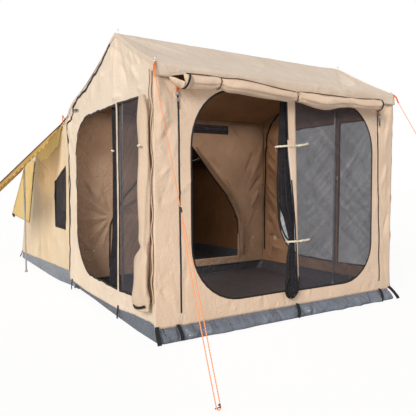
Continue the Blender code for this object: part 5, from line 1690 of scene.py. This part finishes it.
# %% Edges of the rolled doors
for name, u, h, radius, slant in (("left", 0.226, 1.977, 0.06, 0.018), ("right", 2.404, 1.97, 0.058, 0.0)):
    turn = np.radians(np.linspace(-115, 130, 24))
    hoop = [(u + slant * math.sin(a), ROLL_V - radius * math.cos(a), h + radius * math.sin(a)) for a in turn]
    band(f"{name}_roll_zip_edge", hoop, 0.015, zip_tape, (1, 0, 0), 0.003, slot="black_plastic")
# The open end of the left roll: its inner face is the dark brown inside canvas, painted shade for the hollow
# of the roll.
mouth = []
for u, rise, size, lip in (
    (0.262, 1.978, 0.054, 80),
    (0.202, 1.974, 0.053, 80),
    (0.192, 1.973, 0.052, -12),
    (0.16, 1.974, 0.044, -4),
    (0.129, 1.978, 0.033, 10),
    (0.105, 1.985, 0.018, 25),
    (0.088, 1.991, 0.006, 40),
):
    turn = np.radians(np.linspace(-258, lip, 30))
    mouth.append(spot(u, ROLL_V - size * np.cos(turn), rise + size * np.sin(turn)))
flap = thickened(loft("left_roll_open_end", np.array(mouth), [wall_canvas, sleeping_inside]), 0.0016)
hang(flap, None, (0.17, 0.25), held="folded")
# A brown line along the top of each roll is painted shadow, for the dark gap between the roll and the valance.
for name, stations in (("left", left_roll), ("right", right_roll)):
    shadow_line = [(u, v - 0.006, h + 1.08 * thick + 0.001) for u, v, h, _, thick in stations]
    band(f"{name}_roll_shadow_line", shadow_line, 0.01, brown_binding_and_shadow_line, (0, 0, 1), 0.003)
turn = np.radians(np.linspace(-120, 110, 22))
tie = [(0.521 + 0.006 * math.sin(a), ROLL_V - 0.046 * math.cos(a), 1.99 + 0.047 * math.sin(a)) for a in turn]
band("left_roll_tie", tie, 0.008, brown_binding_and_shadow_line, (1, 0, 0), 0.003)

# %% Edges of the side doors and of the corners
# The brown line along the back edge of each corner flange is painted shadow, for the dark gap there.
for side in ("left", "right"):
    heights = np.arange(0.3, 2.09, 0.04)
    flange = [(-0.012 - 0.005 * math.sin(31 * h), 0.022 + 0.01 * math.sin(17 * h), h) for h in heights]
    band(f"{side}_corner_flange", mirrored(side, flange), 0.036, wall_canvas, (0.3, 1, 0), 0.003)
    edge = [(u - 0.003, v + 0.019, h) for u, v, h in flange]
    band(f"{side}_corner_shadow_line", mirrored(side, edge), 0.006, brown_binding_and_shadow_line, (0, 1, 0), 0.003)
    slider = [(-0.016, 1.965, 1.985), (-0.02, 1.9, 1.978), (-0.02, 1.84, 1.972), (-0.016, 1.79, 1.968)]
    finish = (0.018, black_moulding, (0, 0, 1), 0.005)
    band(f"{side}_rake_slider", mirrored(side, slider), *finish, slot="black_plastic")
foot_zip = [(-0.06, 0.236, 0.3), (-0.088, 0.215, 0.272), (-0.101, 0.15, 0.256), (-0.097, 0.08, 0.262)]
foot_zip += [(-0.07, 0.032, 0.28)]
band("left_door_foot_zip", foot_zip, 0.02, zip_tape, (0, 0, 1), 0.004, slot="black_plastic")

# %% The inner wall's own zip
inner_line = [(2.071, 0.261), (2.076, 0.6), (2.079, 0.952), (2.07, 1.3), (2.064, 1.65)]
inner_line += [(2.02, 1.85), (1.938, 1.983), (1.85, 2.07), (1.753, 2.138)]
for side, skin in gable_skins.items():
    inner_skin = lambda x, y, out=0.0, skin=skin: skin(x, y, -0.004 - out)
    zips(f"{side}_inner_zip", [smooth_line(inner_line, 0.02)], inner_skin, width=0.026)

# %% Zip sliders of the front wall
ZIP_TOP = 1.86


def plate(name, outline, out, thickness, finish):
    """A small flat moulding just in front of the front wall."""
    skin = skin_on(front_plane(-out), [], 0.0, 0)
    part = cloth_panel(name, outline, [], skin, [finish] * 2, 0.004, thickness)
    bpy.context.view_layer.objects.active = part
    part.select_set(True)
    bpy.ops.object.modifier_apply(modifier="thickness")
    part.select_set(False)
    return part


def puller(name, u, body):
    """A slider: a wedge over the teeth, and the tab that hangs from it."""
    wedge = ((-0.01, 0), (-0.007, 0.03), (0.007, 0.03), (0.01, 0))
    tab = ((-0.005, 0.026), (-0.009, 0.078), (0.009, 0.078), (0.005, 0.026))
    parts = []
    for part, outline, out, thickness, finish in (
        ("wedge", wedge, 0.0085, 0.006, grey_moulding),
        ("tab", tab, 0.0105, 0.003, black_moulding),
    ):
        outline = [(u + x, ZIP_TOP - h) for x, h in outline]
        parts.append(plate(f"{name}_{part}", outline, out, thickness, finish))
    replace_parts(fit(joined(name, parts), body), body.replace("_body", ""))


puller("left_front_slider", 0.203, "left_zip_slider_body")
puller("right_front_slider", WIDTH - 0.203, "right_zip_slider_body")
for side, u in (("left", 0.198), ("right", 2.497)):
    stop = [(u, -0.008, 1.962), (u, -0.011, 1.935), (u, -0.008, 1.905)]
    band(f"{side}_zip_top_stop", stop, 0.022, orange_webbing, (1, 0, 0), 0.004)
    pin = (u, -0.012, 1.902), (u, -0.012, 1.88)
    turned(f"{side}_zip_top_slider", *pin, COLLAR, grey_moulding, slot="black_plastic")

# %% [markdown]
# ## Sizes
#
# The box round the dressed tent is printed, to be set beside the CAD model's.

# %% Print the dressed tent's box
low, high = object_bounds()
print("dressed box", [round(x, 3) for x in (*low, *high)])
